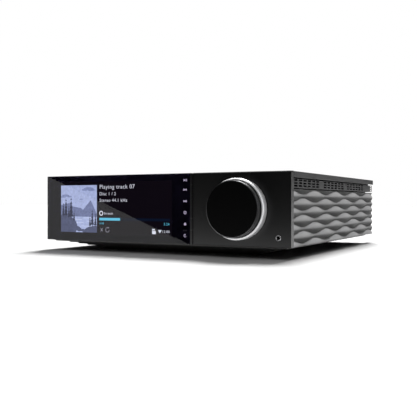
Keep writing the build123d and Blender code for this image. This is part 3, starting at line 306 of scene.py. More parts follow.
def activate(piece):
    deselect()
    piece.select_set(True)
    bpy.context.view_layer.objects.active = piece


def modify(piece, kind, **settings):
    """Adds a modifier and applies it."""
    activate(piece)
    modifier = piece.modifiers.new(kind.lower(), kind)
    for setting, value in settings.items():
        setattr(modifier, setting, value)
    bpy.ops.object.modifier_apply(modifier=modifier.name)


def edit_mesh(piece):
    """Opens a piece's mesh, with all of it selected."""
    activate(piece)
    bpy.ops.object.mode_set(mode="EDIT")
    bpy.ops.mesh.select_all(action="SELECT")


def leave_mesh(merge=False, outward=True):
    """Closes the open mesh, with its double points merged and its faces turned outwards."""
    bpy.ops.mesh.select_all(action="SELECT")
    if merge:
        bpy.ops.mesh.remove_doubles(threshold=merge_distance)
    if outward:
        bpy.ops.mesh.normals_make_consistent(inside=False)
    bpy.ops.object.mode_set(mode="OBJECT")


smooth_limit = radians(32)
merge_distance = 0.000002
flat_limit = radians(0.4)


def box_of(node):
    """The low and high corners of a node's box, and its middle."""
    low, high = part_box(node)
    return low, high, (low + high) / 2


def ease(piece, width, segments=2, limit=smooth_limit):
    """Rounds the edges that are sharper than a limit."""
    modify(piece, "BEVEL", width=width, segments=segments, limit_method="ANGLE", angle_limit=limit)


def smooth(piece, limit=smooth_limit, weighted=True):
    """Smooth shading up to an angle, with flat faces kept flat to their eased edges."""
    activate(piece)
    bpy.ops.object.shade_smooth_by_angle(angle=limit)
    if weighted:
        modify(piece, "WEIGHTED_NORMAL", keep_sharp=True)


def apply_place():
    bpy.ops.object.transform_apply(location=True, rotation=True, scale=True)


def place_piece(piece, material, slot, *replaced, body="chassis"):
    """Gives a finished piece its material and the body that it rides on, and hides the nodes that
    it stands in for.
    """
    activate(piece)
    apply_place()
    if not piece.data.materials:
        piece.data.materials.append(material)
    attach(piece, body)
    if replaced:
        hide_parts(*replaced)


def place_smooth(piece, *rest, **settings):
    """Smooths a piece and gives it its place."""
    smooth(piece)
    place_piece(piece, *rest, **settings)


def two_tone(piece, first, second, is_second):
    """One material, and a second one for the faces whose middles pass a test."""
    piece.data.materials.append(first)
    piece.data.materials.append(second)
    for face in piece.data.polygons:
        if is_second(face.center):
            face.material_index = 1


def eased_copy(node, name, edge, segments=2):
    """A copy of a node, its loose triangles joined into plain faces and its edges eased."""
    piece = bpy.data.objects.new(name, nodes[node].data.copy())
    scene.collection.objects.link(piece)
    piece.data.materials.clear()
    edit_mesh(piece)
    bpy.ops.mesh.remove_doubles(threshold=merge_distance)
    bpy.ops.mesh.dissolve_limited(angle_limit=flat_limit)
    bpy.ops.object.mode_set(mode="OBJECT")
    ease(piece, edge, segments)
    smooth(piece)
    return piece


def eased(node, name, edge, material, slot, body="chassis", segments=2):
    """A machined, folded or moulded piece with its sharp edges eased, in place of its node."""
    piece = eased_copy(node, name, edge, segments)
    place_piece(piece, material, slot, node, body=body)
    return piece


anodised_black = finish(
    "anodised_black", (0.0060, 0.0060, 0.0064), 0.36, grain=220, relief=6, shade=0.15, shine=0.03,
)
eased("front_fascia", "fascia_plate", 0.00025, anodised_black, "fascia_metal")

# Display glass: one polished pane, clear all through. A black print on its back hides all but the
# screen. The picture and signs that shine through its openings are drawn as lit shapes in front of
# it.
glass_finish, glass_tree, glass_shader = new_material(
    "clear_glass", {"Base Color": (0.96, 0.965, 0.97, 1), "Transmission Weight": 1, "IOR": 1.5},
)
glass_place = add_node(glass_tree, "TexCoord").outputs["Object"]
smears = add_node(glass_tree, "TexNoise", {"Vector": glass_place, "Scale": 30, "Detail": 5})
smear_roughness = 0.02
glass_rough = add_math(glass_tree, "MULTIPLY", smears.outputs["Fac"], smear_roughness)
feed(glass_tree, glass_shader, {"Roughness": glass_rough})
eased("display_glass", "glass_pane", 0.0003, glass_finish, "display_glass", segments=3)


def colour(red, green, blue):
    """A display colour, given as 0 to 255, as the linear colour that a shader wants."""
    steps = [step / 255 for step in (red, green, blue)]
    return [s / 12.92 if s <= 0.04045 else ((s + 0.055) / 1.055) ** 2.4 for s in steps]


def eased_slab(name, low, high, edge, segments=2):
    """A plain block between two corners, with eased edges."""
    deselect()
    low, high = Vector(low), Vector(high)
    bpy.ops.mesh.primitive_cube_add(size=1, location=(low + high) / 2)
    piece = added(name)
    piece.scale = high - low
    apply_place()
    ease(piece, edge, segments)
    smooth(piece)
    return piece


ink_margin = 0.0003
ink_depth = 0.0002
ink_back_gap = 0.00004
ink_black = finish("screen_ink", colour(20, 17, 30), 0.6, relief=1, shade=0.06, sockets=no_shine)
ink_back_y = glass_high.y - ink_back_gap
ink_front_y = ink_back_y - ink_depth
ink = eased_slab(
    "glass_print", (glass_low.x + ink_margin, ink_front_y, glass_low.z + ink_margin),
    (glass_high.x - ink_margin, ink_back_y, glass_high.z - ink_margin), ink_depth / 4,
)
place_piece(ink, ink_black, "display_glass")

# Lit screen: a picture, three lines of words, a progress bar and small signs, all plain ones and
# sized in millimetres. Each is a thin lit shape just in front of the print, and the pane in front
# bends the sight of it sideways by about a millimetre.
sign_front_y = ink_front_y - 0.00012
sign_thickness = 0.00008
sight_shift = 0.00094
mm = 0.001


def on_print(x, z):
    """A point on the signs' plane, given in millimetres as it is seen through the pane."""
    return Vector((x * mm - sight_shift, sign_front_y, z * mm))


def glow(name, tint, strength=1, mottle=0.04, patch=0.002):
    """Light from the screen and its signs, or a painted glow, with the slight unevenness of the
    panel or of a printed picture.
    """
    material, tree, shader = light_material(name, strength)
    inputs = {
        "Colour": (*colour(*tint), 1), "Grain Size": patch / 3, "Patch Size": patch,
        "Shade Change": mottle,
    }
    mottled = add_node(tree, "Group", inputs, node_tree=surface_grain)
    feed(tree, shader, {"Emission Color": mottled.outputs["Colour"]})
    return material


def flat_shape(sides, radius, x, z, turn=0, stretch=(1, 1)):
    """A triangle, a square or, with many sides, a disc. It faces forwards, turned by degrees."""
    deselect()
    bpy.ops.mesh.primitive_circle_add(
        vertices=sides, radius=radius * mm, fill_type="NGON", location=on_print(x, z),
        rotation=(radians(90), radians(turn), 0),
    )
    shape = added()
    shape.scale = (*stretch, 1)
    apply_place()
    return shape


def bar(x_low, x_high, z_low, z_high):
    """An upright rectangle that faces forwards."""
    deselect()
    bpy.ops.mesh.primitive_plane_add(
        size=1, location=on_print((x_low + x_high) / 2, (z_low + z_high) / 2),
        rotation=(radians(90), 0, 0),
    )
    shape = added()
    shape.scale = ((x_high - x_low) * mm, (z_high - z_low) * mm, 1)
    apply_place()
    return shape


def hoop(radius, width, x, z, start=0, sweep=360, sides=28):
    """A flat ring, or the part of one from an angle on, as an edge spun about its centre."""
    deselect()
    middle = on_print(x, z)
    out = Vector((sin(radians(start)), 0, cos(radians(start)))) * mm
    bpy.ops.mesh.primitive_plane_add(size=1)
    shape = added()
    edit_mesh(shape)
    mesh = bmesh.from_edit_mesh(shape.data)
    mesh.verts.ensure_lookup_table()
    bmesh.ops.delete(mesh, geom=mesh.verts[2:], context="VERTS")
    mesh.verts.ensure_lookup_table()
    mesh.verts[0].co = middle + out * (radius - width / 2)
    mesh.verts[1].co = middle + out * (radius + width / 2)
    bmesh.update_edit_mesh(shape.data)
    bpy.ops.mesh.select_all(action="SELECT")
    bpy.ops.mesh.spin(
        steps=sides, angle=radians(sweep), center=middle, axis=(0, 1, 0), use_auto_merge=True
    )
    leave_mesh(merge=True, outward=False)
    return shape


def joined(name, shapes):
    """Several shapes as one object."""
    deselect()
    for shape in shapes:
        shape.select_set(True)
    bpy.context.view_layer.objects.active = shapes[0]
    bpy.ops.object.join()
    shapes[0].name = name
    return shapes[0]


def lit_sign(name, material, *shapes, slot="lcd_panel"):
    """Joins flat shapes and gives them their thickness, towards the print behind them."""
    piece = joined(name, shapes)
    edit_mesh(piece)
    bpy.ops.mesh.extrude_region_move(TRANSFORM_OT_translate={"value": (0, sign_thickness, 0)})
    leave_mesh()
    place_piece(piece, material, slot)


cap_share = 0.729
stroke_growth = -0.004
letter_spacing = 1.14


def lettering(text, height, place, facing, **settings):
    """A line of plain lettering as a mesh at a place, facing a direction."""
    deselect()
    bpy.ops.object.text_add()
    line = bpy.context.active_object
    line.data.body = text
    line.data.size = height / cap_share
    line.data.resolution_u = 3
    for setting, value in settings.items():
        setattr(line.data, setting, value)
    line.location = place
    line.rotation_euler = Vector(facing).to_track_quat("Z", "Y").to_euler()
    bpy.ops.object.convert(target="MESH")
    apply_place()
    return bpy.context.active_object


def words(text, x, z, height, side="LEFT"):
    """A lit line of words, whose left or right end is at x."""
    return lettering(
        text, height * mm, on_print(x, z), (0, -1, 0), offset=height * mm * stroke_growth,
        space_character=letter_spacing, align_x=side,
    )


# The screen's own black is a little warmer than the print round it.
screen_low, screen_high = on_print(-137.5, 19.5), on_print(20.5, 81.5)
screen_low.y, screen_high.y = ink_front_y - 0.00003, ink_front_y + 0.00005
screen = eased_slab("screen_window", screen_low, screen_high, 0.00001)
place_piece(
    screen, glow("screen_black", (14, 10, 17), mottle=0.1, patch=0.02), "lcd_panel", "lcd_module"
)

white_light = glow("sign_white", (226, 228, 242))
cyan_light = glow("sign_cyan", (93, 190, 222), 1.05)
words_x = -78.8
lit_sign("screen_title", white_light, words("Playing track 07", words_x, 73.2, 4.9))
lit_sign(
    "screen_lines", white_light, words("Disc 1 / 2", words_x, 65.6, 3.8),
    words("Stereo 44.1 kHz", words_x, 58.1, 3.8),
)
lit_sign(
    "screen_source", white_light, hoop(2.3, 1.1, -76.2, 44.7, sides=24),
    words("Stream", -72.2, 43.3, 2.9),
)
bar_z = (36.4, 39.4)
bar_split_x, bar_right_x = -49.3, 18
lit_sign("progress_done", cyan_light, bar(words_x, bar_split_x, *bar_z))
lit_sign(
    "progress_left", glow("sign_dim_blue", (12, 20, 38)), bar(bar_split_x, bar_right_x, *bar_z)
)
lit_sign(
    "screen_times", cyan_light, words("0:58", words_x, 31.8, 2.4),
    words("3:24", 17.2, 32.1, 2.9, "RIGHT"),
)
mode_z = 25.5
lit_sign(
    "mode_signs", glow("sign_grey", (138, 136, 152)),
    flat_shape(4, 3.4, -75.6, mode_z, 38, (0.16, 1)),
    flat_shape(4, 3.4, -75.6, mode_z, -38, (0.16, 1)), hoop(2.6, 0.7, -67.2, mode_z, 30, 300, 20),
    flat_shape(3, 1.3, -65.9, mode_z + 2.5, 80),
)
lit_sign(
    "status_signs", white_light, bar(-5.4, -0.6, 22.1, 25.6), bar(-4.5, -1.8, 26.2, 27.8),
    bar(-5.4, -4.7, 25.6, 28.1), flat_shape(3, 2.4, 4.7, 25.6, 180, (1.2, 1)),
    words("12:00", 17.5, 23.8, 2.9, "RIGHT"),
)

# Touch signs: a column of lit symbols for the keys beside it. They are clear openings in the
# print, drawn as lit shapes in front of it.
signs_x = 37
sign_z = {"play": 81.4, "previous": 71.1, "next": 58.7, "info": 46.4, "home": 33.9, "power": 21.4}
sign_scale = 0.78
sign_stroke = 0.55
play, previous, following, info, home, power = sign_z.values()


def arrow(offset, z, turn=90, size=1.7):
    """A sign's triangle, which points to the right unless it is turned."""
    return flat_shape(3, size * sign_scale, signs_x + offset, z, turn)


def upright(offset, z, half_height=1.6 * sign_scale):
    """A slim upright stroke of a sign."""
    low_x = signs_x + offset - sign_stroke / 2
    return bar(low_x, low_x + sign_stroke, z - half_height, z + half_height)


lit_sign(
    "touch_signs", glow("sign_violet", (196, 184, 214), 0.9), arrow(-1.1, play, size=2),
    upright(1, play), upright(2.1, play), upright(-1.9, previous), arrow(-0.5, previous, turn=-90),
    arrow(1.4, previous, turn=-90), arrow(-1.4, following), arrow(0.5, following),
    upright(1.9, following), hoop(1.5, sign_stroke, signs_x, info),
    flat_shape(12, 0.35, signs_x, info + 0.7), upright(0, info - 0.3, 0.6),
    flat_shape(3, 2, signs_x, home + 0.5, 0, (1, 0.75)),
    bar(signs_x - 1.2, signs_x + 1.2, home - 1.3, home + 0.2),
    hoop(1.4, sign_stroke, signs_x, power, 35, 290),
    upright(0, power + 1.1, 0.9), slot="clear_plastic",
)
# The remote window is no lamp: its faint grey glow is painted light.
lit_sign(
    "remote_window", glow("remote_window_painted_glow", (28, 26, 32)),
    bar(signs_x - 2.4, signs_x + 2.4, 26.2, 27.8), slot="clear_plastic",
)

# Picture on the screen: a plain lake shore in slate and pale lavender, with drifting clouds, far
# hills, a wood of firs and bright water. It is flat shapes in speckled tones, cut at its edges,
# each layer a hair in front of the last.
low_x, high_x, low_z, high_z = -136.9, -82.6, 22, 77.7
picture_x = (low_x + high_x) / 2
picture_corners = (on_print(low_x, low_z), on_print(high_x, high_z))
picture_step = 0.00001
lake_top_z = 40.5
tree_tiers = 5


def blot(sides, radius, x, z, turn, stretch):
    """A flat shape placed from the picture's middle."""
    return flat_shape(sides, radius, picture_x + x, z, turn, stretch)


def strip(x, half_width, z_low, z_high):
    """An upright rectangle placed from the picture's middle."""
    return bar(picture_x + x - half_width, picture_x + x + half_width, z_low, z_high)


def fir(x, foot_z, height):
    """A fir's trunk and its tiers, each smaller than the one below it."""
    shapes = [strip(x, 0.4, foot_z, foot_z + height * 0.3)]
    for tier in range(tree_tiers):
        radius = height * 0.20 * (1 - tier / (tree_tiers + 1))
        z = foot_z + height * (0.22 + 0.17 * tier)
        shapes.append(blot(3, radius, x, z, 3 * (tier % 2), (0.78, 1.15)))
    return shapes


clouds = (
    (15, 73.5, 4.2), (19, 72, 3.2), (9, 72.2, 2.6), (-20, 65.5, 3.4), (-24, 64, 2.6),
    (-14, 64.2, 2.2), (4, 61.2, 1.8),
)
gleams = (
    (14, 39, 7), (-4, 37.2, 9), (18, 35.2, 6), (2, 33.3, 5.5), (-12, 31.2, 7.5), (12, 29.4, 8.5),
)
firs = (
    (-23.5, 40, 17), (-19.5, 39.5, 22.5), (-15, 38.5, 15), (-11.5, 37.5, 26), (-7, 35, 12.5),
    (17, 28.5, 13.5), (20.5, 29, 20), (25, 29, 15.5),
)
paper = glow("picture_paper", (168, 179, 220), mottle=0.42, patch=0.0030)
picture_layers = (
    ("sky", paper, [bar(low_x, high_x, low_z, high_z)]),
    (
        "clouds", glow("picture_cloud", (132, 142, 184), mottle=0.7),
        [blot(20, size, x, z, 0, (1.7, 0.42)) for x, z, size in clouds],
    ),
    (
        "far_hills", glow("picture_far_hill", (112, 121, 160), mottle=0.7, patch=0.0022),
        [
            blot(5, 21, -17, 44, 14, (1, 0.62)), blot(3, 20, 16, 45, 8, (1, 0.75)),
            blot(6, 13, 1, 44, 22, (1.3, 0.55)),
        ],
    ),
    ("water", paper, [bar(low_x, high_x, low_z, lake_top_z)]),
    (
        "water_lights", glow("picture_light", (204, 213, 242), mottle=0.3, patch=0.0022),
        [strip(x, half, z - 0.3, z + 0.3) for x, z, half in gleams],
    ),
    (
        "shore", glow("picture_near_hill", (78, 84, 114), mottle=0.8),
        [
            blot(40, 21, -23, 28.5, 0, (1, 0.66)), blot(40, 16, 26, 21.5, 0, (1.2, 0.52)),
            blot(7, 4.2, -1, 26.2, 20, (1.5, 0.7)), blot(6, 2.7, 7, 24.2, 5, (1.4, 0.7)),
        ],
    ),
    (
        "trees", glow("picture_tree", (46, 50, 74), mottle=0.8, patch=0.0016),
        [shape for tree in firs for shape in fir(*tree)],
    ),
)
for layer, (name, tone, shapes) in enumerate(picture_layers):
    piece = joined(f"picture_{name}", shapes)
    edit_mesh(piece)
    for edge, normal in enumerate(((-1, 0, 0), (1, 0, 0), (0, 0, -1), (0, 0, 1))):
        bpy.ops.mesh.select_all(action="SELECT")
        bpy.ops.mesh.bisect(plane_co=picture_corners[edge % 2], plane_no=normal, clear_outer=True)
    bpy.ops.mesh.select_all(action="SELECT")
    bpy.ops.transform.translate(value=(0, -picture_step * layer, 0))
    leave_mesh(outward=False)
    lit_sign(f"picture_{name}", tone, piece)

# Keys: six slim satin bars in the groove beside the glass, each on its own stem. They are
# anodised a shade lighter than the fascia and lie a hair apart.
key_satin = finish("key_satin", (0.014, 0.0135, 0.0145), 0.34, grain=300, relief=4, shade=0.1)
for key in sign_z:
    eased(f"key_{key}", f"{key}_key", 0.00018, key_satin, "key_metal", body=f"{key}_button")


# Dial: an outer ring turned from aluminium, bright and rounded at its edge, and an inner knob
# with a black face, a narrow shoulder and a lighter metal band at the face's edge, whose lighter
# tint is a painted highlight. Both are turned about one axis, so a circle is drawn out ring by
# ring.
def turned(name, middle, outline, sides=144, closed=True, upright=False):
    """A piece turned about an axis along Y, or Z if upright. The outline is (radius, height)."""
    def level(height):
        return Vector((middle.x, *((middle.y, height) if upright else (height, middle.z))))

    radius, height = outline[0]
    deselect()
    bpy.ops.mesh.primitive_circle_add(
        vertices=sides, radius=radius, location=level(height),
        rotation=(0 if upright else radians(90), 0, 0),
    )
    piece = added(name)
    apply_place()
    edit_mesh(piece)
    if not closed:
        bpy.ops.mesh.edge_face_add()
    for next_radius, next_height in outline[1:] + (outline[:1] if closed else []):
        rise = level(next_height) - level(height)
        bpy.ops.mesh.extrude_region_move(TRANSFORM_OT_translate={"value": rise})
        share = next_radius / radius
        bpy.ops.transform.resize(
            value=(share, share, 1) if upright else (share, 1, share),
            center_override=level(next_height),
        )
        radius, height = next_radius, next_height
    leave_mesh(merge=True)
    return piece


# Fine circular tool marks about an axis along Y, as height and as a change of shine.
lathe_marks, given, result = new_group(
    "lathe_marks", {"Centre": (0, 0, 0), "Pitch": 0.0001}, {"Height": 0, "Shine": 0},
)
tree = lathe_marks
place = add_node(tree, "TexCoord").outputs["Object"]
offset = add_node(
    tree, "VectorMath", {0: place, 1: given["Centre"]}, operation="SUBTRACT"
).outputs[0]
across = add_node(tree, "VectorMath", {0: offset, 1: (1, 0, 1)}, operation="MULTIPLY").outputs[0]
length = add_node(tree, "VectorMath", {0: across}, operation="LENGTH").outputs["Value"]
depth = add_node(tree, "SeparateXYZ", {0: offset}).outputs["Y"]
steps = add_math(tree, "DIVIDE", add_math(tree, "ADD", length, depth), given["Pitch"])
noise = {"W": steps, "Scale": 1, "Detail": 2}
marks = add_node(tree, "TexNoise", noise, noise_dimensions="1D").outputs["Fac"]
shine = add_math(tree, "MULTIPLY_ADD", marks, 0.16, -0.08)
feed(tree, result, {"Height": marks, "Shine": shine})
metallic = {"Metallic": 1}


def turned_finish(name, tint, roughness, middle, relief, sockets=metallic):
    """A finish with lathe marks over the common grain."""
    material = finish(
        name, tint, roughness, grain=300, relief=relief, shade=0.06, shine=0.03, sockets=sockets
    )
    tree = material.node_tree
    inputs = {"Centre": (middle.x, 0, middle.z), "Pitch": 0.00012}
    marks = add_node(tree, "Group", inputs, node_tree=lathe_marks).outputs
    feed(tree, tree.nodes["Bump"], {"Height": marks["Height"]})
    shine = add_math(tree, "ADD", tree.nodes["Grain"].outputs["Roughness"], marks["Shine"])
    feed(tree, tree.nodes["Principled BSDF"], {"Roughness": shine})
    return material


ring_low, ring_high, dial = box_of("source_ring")
knob_low, knob_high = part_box("volume_knob")
rim, front, back = (ring_high.x - ring_low.x) / 2, ring_low.y, ring_high.y
knob_radius = (knob_high.x - knob_low.x) / 2
ring_bore = knob_radius + 0.0003
web_y = back - 0.003
hub_bore = 0.006
rim_inset = 0.0047
rim_depth = 0.0005
ring = turned(
    "dial_ring", dial,
    [
        (ring_bore, front + 0.0003), (ring_bore + 0.0002, front), (rim - 0.0014, front + 0.0001),
        (rim - 0.0008, front + 0.0004), (rim - 0.0003, front + 0.0009), (rim, front + 0.0018),
        (rim, back), (rim - rim_inset, back), (rim - rim_inset, back - rim_depth),
        (hub_bore, back - rim_depth), (hub_bore, web_y), (ring_bore, web_y),
    ],
)
turned_edge = 0.00012
ease(ring, turned_edge, 3, radians(40))
smooth(ring, radians(34), weighted=False)
ring_silver = turned_finish(
    "ring_silver", (0.60, 0.60, 0.61), 0.6, dial, 3, sockets={"Metallic": 0.9}
)
place_piece(ring, ring_silver, "ring_metal", "source_ring", body="source")

knob_shoulder = 0.0010
knob_shoulder_depth = 0.0008
knob_side_lean = 0.0004
knob_wall = 0.0025
knob_hub = 0.007
knob_bore = 0.003
front, back = knob_low.y, knob_high.y
inner_y = front + knob_wall
skirt = knob_radius - knob_side_lean
knob = turned(
    "volume_dial", dial,
    [
        (0.0015, front), (knob_radius - knob_shoulder, front),
        (knob_radius - 0.0003, front + 0.0003), (knob_radius, front + knob_shoulder_depth),
        (skirt, back), (skirt - knob_wall, back), (skirt - knob_wall, inner_y),
        (knob_hub, inner_y), (knob_hub, back), (knob_bore, back), (knob_bore, inner_y),
    ],
    closed=False,
)
edit_mesh(knob)
bpy.ops.mesh.select_all(action="DESELECT")
bpy.ops.mesh.select_mode(type="EDGE")
bpy.ops.mesh.select_non_manifold()
bpy.ops.mesh.edge_face_add()
leave_mesh()
ease(knob, turned_edge, 3, radians(15))
smooth(knob, radians(15))
knob_black = turned_finish(
    "knob_black", (0.0016, 0.0016, 0.0017), 0.5, dial, 2, {"Specular IOR Level": 0.06}
)
knob_side = turned_finish("knob_side", (0.03, 0.03, 0.031), 0.36, dial, 3)
# The band at the face's edge is metal that reflects, with a lighter tint that is a painted
# highlight.
knob_rim_highlight = turned_finish("knob_rim_highlight", (0.16, 0.16, 0.165), 0.3, dial, 2)
for material in (knob_black, knob_side, knob_rim_highlight):
    knob.data.materials.append(material)
# Faces past the face's edge take the shoulder's finish; a thin band right at the edge takes the
# painted highlight.
for face in knob.data.polygons:
    reach = ((face.center.x - dial.x) ** 2 + (face.center.z - dial.z) ** 2) ** 0.5
    past_face = reach - (knob_radius - knob_shoulder)
    if past_face > -0.0001:
        face.material_index = 2 if past_face < 0.0001 else 1
place_piece(knob, knob_black, "knob_metal", "volume_knob", body="volume")

# Headphone socket: a moulded body behind the fascia and a plated nose with a rolled lip that
# stands a little proud of it.
jack_low, jack_high, jack = box_of("headphone_jack")
nose_radius = 0.0029
nose_bore = 0.0018
nose_back_y = jack_high.y - 0.014
nose = turned(
    "socket_nose", jack,
    [
        (nose_bore, jack_low.y + 0.0003), (nose_bore + 0.0002, jack_low.y),
        (nose_radius - 0.0003, jack_low.y), (nose_radius, jack_low.y + 0.0003),
        (nose_radius, nose_back_y), (nose_bore, nose_back_y),
    ],
    sides=56,
)
nose_metal = turned_finish("socket_nickel", (0.32, 0.32, 0.33), 0.3, jack, 2)
place_smooth(nose, nose_metal, "jack_body", "headphone_jack")
jack_plastic = finish("socket_plastic", (0.012, 0.012, 0.012), 0.5)
jack_case = eased_slab("socket_case", (jack_low.x, nose_back_y, jack_low.z), jack_high, 0.0004)
place_piece(jack_case, jack_plastic, "jack_body")
contact_front_y, contact_back_y = jack_low.y + 0.0012, nose_back_y - 0.0001
contacts = turned(
    "socket_contacts", jack,
    [
        (nose_bore + 0.0001, contact_front_y), (nose_bore + 0.0001, contact_back_y),
        (nose_bore, contact_back_y), (nose_bore, contact_front_y),
    ],
    sides=40,
)
place_smooth(contacts, jack_plastic, "jack_body")

# Top cover: folded sheet with shallow sides and a fine satin powder coat. The coat rounds its
# folds and its cut edges.
satin_coat = {"Specular IOR Level": 0.2}
cover_coat = finish(
    "cover_coat", (0.058, 0.058, 0.060), 0.5, grain=500, relief=20, patch=0.06,
    shade=0.1, sockets=satin_coat,
)
eased("top_cover", "cover_shell", 0.00025, cover_coat, "cover_paint")

# Side rails: extruded strips pierced with three rows of vent slots. The strip is coated like the
# cover, and the channel behind it is painted near black: painted shade that keeps the slots dark.
rail_coat = finish(
    "rail_coat", (0.068, 0.068, 0.070), 0.5, grain=500, shade=0.1, sockets=satin_coat
)
# The channel's near black is painted shade: it keeps the vent slots dark.
channel_painted_shade = finish("channel_painted_shade", (0.002, 0.002, 0.002), 0.6, sockets=no_shine)
strip_thickness = 0.0008
sides = {"right": 1, "left": -1}
for side in sides:
    low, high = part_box(f"side_rail_{side}")
    channel_x = max(abs(low.x), abs(high.x)) - strip_thickness * 0.75
    rail = eased_copy(f"side_rail_{side}", f"vent_rail_{side}", 0.00012)
    # Faces inside the channel take the painted shade.
    two_tone(rail, rail_coat, channel_painted_shade, lambda middle: abs(middle.x) < channel_x)
    place_piece(rail, rail_coat, "rail_paint", f"side_rail_{side}")

# Side panels: cast aluminium slabs cut into rows of ridges. Each ridge swells and narrows like
# a wave, half a wave out of step with its neighbours, so that the creases between them weave.
# The crests are softly rounded, the creases crisp, and the whole is painted satin grey.
panel_rows = 7
peg_length = 0.0045
peg_radius = 0.0025
peg_spacing = 0.24
peg_overlap = 0.001
panel_valley = 0.0039
wave_period = 0.0762
wave_first_bulge = 0.0339
wave_swing = 0.0021
wave_top_rise = 0.0015
wave_slope = 0.43
crest_softness = 1.65
steps_along = 216
steps_per_half = 8
half_ridges = 2 * panel_rows
panel_paint = finish(
    "panel_paint", (0.32, 0.32, 0.322), 0.6, relief=12, patch=0.05, shade=0.07, shine=0.04,
    sockets={"Specular IOR Level": 0.02},
)
for side, sign in sides.items():
    low, high, middle = box_of(f"side_panel_{side}")
    inner_x = (low.x if sign > 0 else -high.x) + peg_length
    wave_top_z = high.z + wave_top_rise
    pitch = (wave_top_z - low.z) / panel_rows
    deselect()
    bpy.ops.mesh.primitive_grid_add(
        x_subdivisions=steps_along, y_subdivisions=half_ridges * steps_per_half, size=1
    )
    panel = added(f"wave_panel_{side}")
    for vertex in panel.data.vertices:
        y = low.y + (vertex.co.x + 0.5) * (high.y - low.y)
        travel = (0.5 - vertex.co.y) * half_ridges
        half_row = min(int(travel + 1e-4), half_ridges - 1)
        part = travel - half_row
        ridge = (half_row + 1) // 2
        from_crest = 1 - part if half_row % 2 else -part
        swell = wave_swing * cos(2 * pi * (y - low.y - wave_first_bulge) / wave_period)
        half_height = pitch / 2 + (-swell if ridge % 2 else swell)
        rise = 1 - abs(from_crest) ** crest_softness
        x = inner_x + panel_valley + wave_slope * half_height * rise
        z = wave_top_z - ridge * pitch + from_crest * half_height
        vertex.co = (sign * x, y, z)
    edit_mesh(panel)
    bpy.ops.mesh.bisect(plane_co=(0, 0, high.z), plane_no=(0, 0, 1), clear_outer=True)
    bpy.ops.mesh.select_all(action="SELECT")
    bpy.ops.mesh.region_to_loop()
    bpy.ops.mesh.extrude_region_move(TRANSFORM_OT_translate={"value": (-sign * 0.001, 0, 0)})
    bpy.ops.transform.resize(value=(0, 1, 1), center_override=(sign * (inner_x + 0.00002), 0, 0))
    bpy.ops.mesh.edge_face_add()
    leave_mesh()
    smooth(panel, radians(38), weighted=False)
    place_piece(panel, panel_paint, "panel_metal", f"side_panel_{side}", body=f"panel_{side}")
    side_lit.objects.link(panel)
    pegs = []
    for end in (-1, 1):
        deselect()
        bpy.ops.mesh.primitive_cylinder_add(
            vertices=40, radius=peg_radius, depth=peg_length + peg_overlap,
            location=(
                sign * (inner_x - peg_length / 2 + peg_overlap / 2),
                middle.y + end * peg_spacing / 2, middle.z,
            ),
            rotation=(0, radians(90), 0),
        )
        peg = added()
        ease(peg, 0.0006, 3)
        smooth(peg)
        pegs.append(peg)
    pegs = joined(f"panel_pegs_{side}", pegs)
    place_piece(pegs, panel_paint, "panel_metal", body=f"panel_{side}")

# Floor, base tub and feet: black painted steel, a fine-textured black moulding that steps in
# and down, and turned rubber feet with a rounded rim and a recess for the screw.
floor_paint = finish("floor_paint", (0.02, 0.02, 0.02), 0.5)
eased("chassis_floor", "floor_sheet", 0.0002, floor_paint, "floor_steel")
base_texture = finish("base_texture", (0.07, 0.07, 0.07), 0.5, grain=600, relief=30, shade=0.1)
eased("base_plinth", "base_tub", 0.0003, base_texture, "base_plastic")
foot_rubber = finish("foot_rubber", (0.013, 0.013, 0.013), 0.8, grain=500, relief=20, shade=0.2)
feet_low, feet_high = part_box("rubber_feet")
foot_radius = 0.010
foot_rim = 0.0008
foot_bore = 0.0016
recess_radius = 0.0033
recess_height = 0.0016
feet = []
for foot_x in (feet_low.x + foot_radius, feet_high.x - foot_radius):
    for foot_y in (feet_low.y + foot_radius, feet_high.y - foot_radius):
        foot = turned(
            "foot", Vector((foot_x, foot_y, 0)),
            [
                (recess_radius, 0), (foot_radius - foot_rim, 0), (foot_radius, foot_rim),
                (foot_radius, feet_high.z), (foot_bore, feet_high.z), (foot_bore, recess_height),
                (recess_radius, recess_height),
            ],
            sides=72, upright=True,
        )
        ease(foot, 0.0002, 3)
        feet.append(foot)
place_smooth(joined("feet", feet), foot_rubber, "foot_rubber", "rubber_feet")

# Rear panel: folded steel with a fine black coat, bare of names. Plain numbers, a plus or a minus
# stand beside the terminals and sockets, printed in light grey.
rear_coat = finish(
    "rear_coat", (0.012, 0.012, 0.0125), 0.48, grain=500, relief=15, sockets=satin_coat
)
eased("rear_panel", "rear_sheet", 0.0002, rear_coat, "rear_steel")
print_grey = finish("print_grey", (0.5, 0.5, 0.5), 0.6, grain=200, relief=2)
print_thickness = 0.00008


def printed(text, point, facing, height):
    """Plain lettering as a thin closed shape whose middle lies at a point of a surface."""
    return lettering(
        text, height, Vector(point) + Vector(facing) * print_thickness / 2, facing,
        extrude=print_thickness / 2, align_x="CENTER", align_y="CENTER",
    )


rear_y = 0.152
mark_gap = 0.0130
caps = [box_of(f"terminal_cap_{number}") for number in range(1, 5)]
line_socket_x = (0.116, 0.090, 0.064)
line_socket_z = (0.070, 0.054)
marks = [(str(number), x, 0.0805, 0.0030) for number, x in enumerate(line_socket_x, 1)]
for number, (low, high, cap) in enumerate(caps):
    marks.append(("+-"[number % 2], cap.x, cap.z + mark_gap, 0.0040))
    marks.append((str(number // 2 + 1), cap.x, cap.z - mark_gap, 0.0030))
for number, port in enumerate(("network", "usb", "hdmi", "optical"), 4):
    low, high, middle = box_of(f"{port}_port")
    marks.append((str(number), middle.x, high.z + 0.0035, 0.0028))
rear_marks = [printed(text, (x, rear_y, z), (0, 1, 0), height) for text, x, z, height in marks]
place_piece(joined("rear_marks", rear_marks), print_grey, "rear_steel")

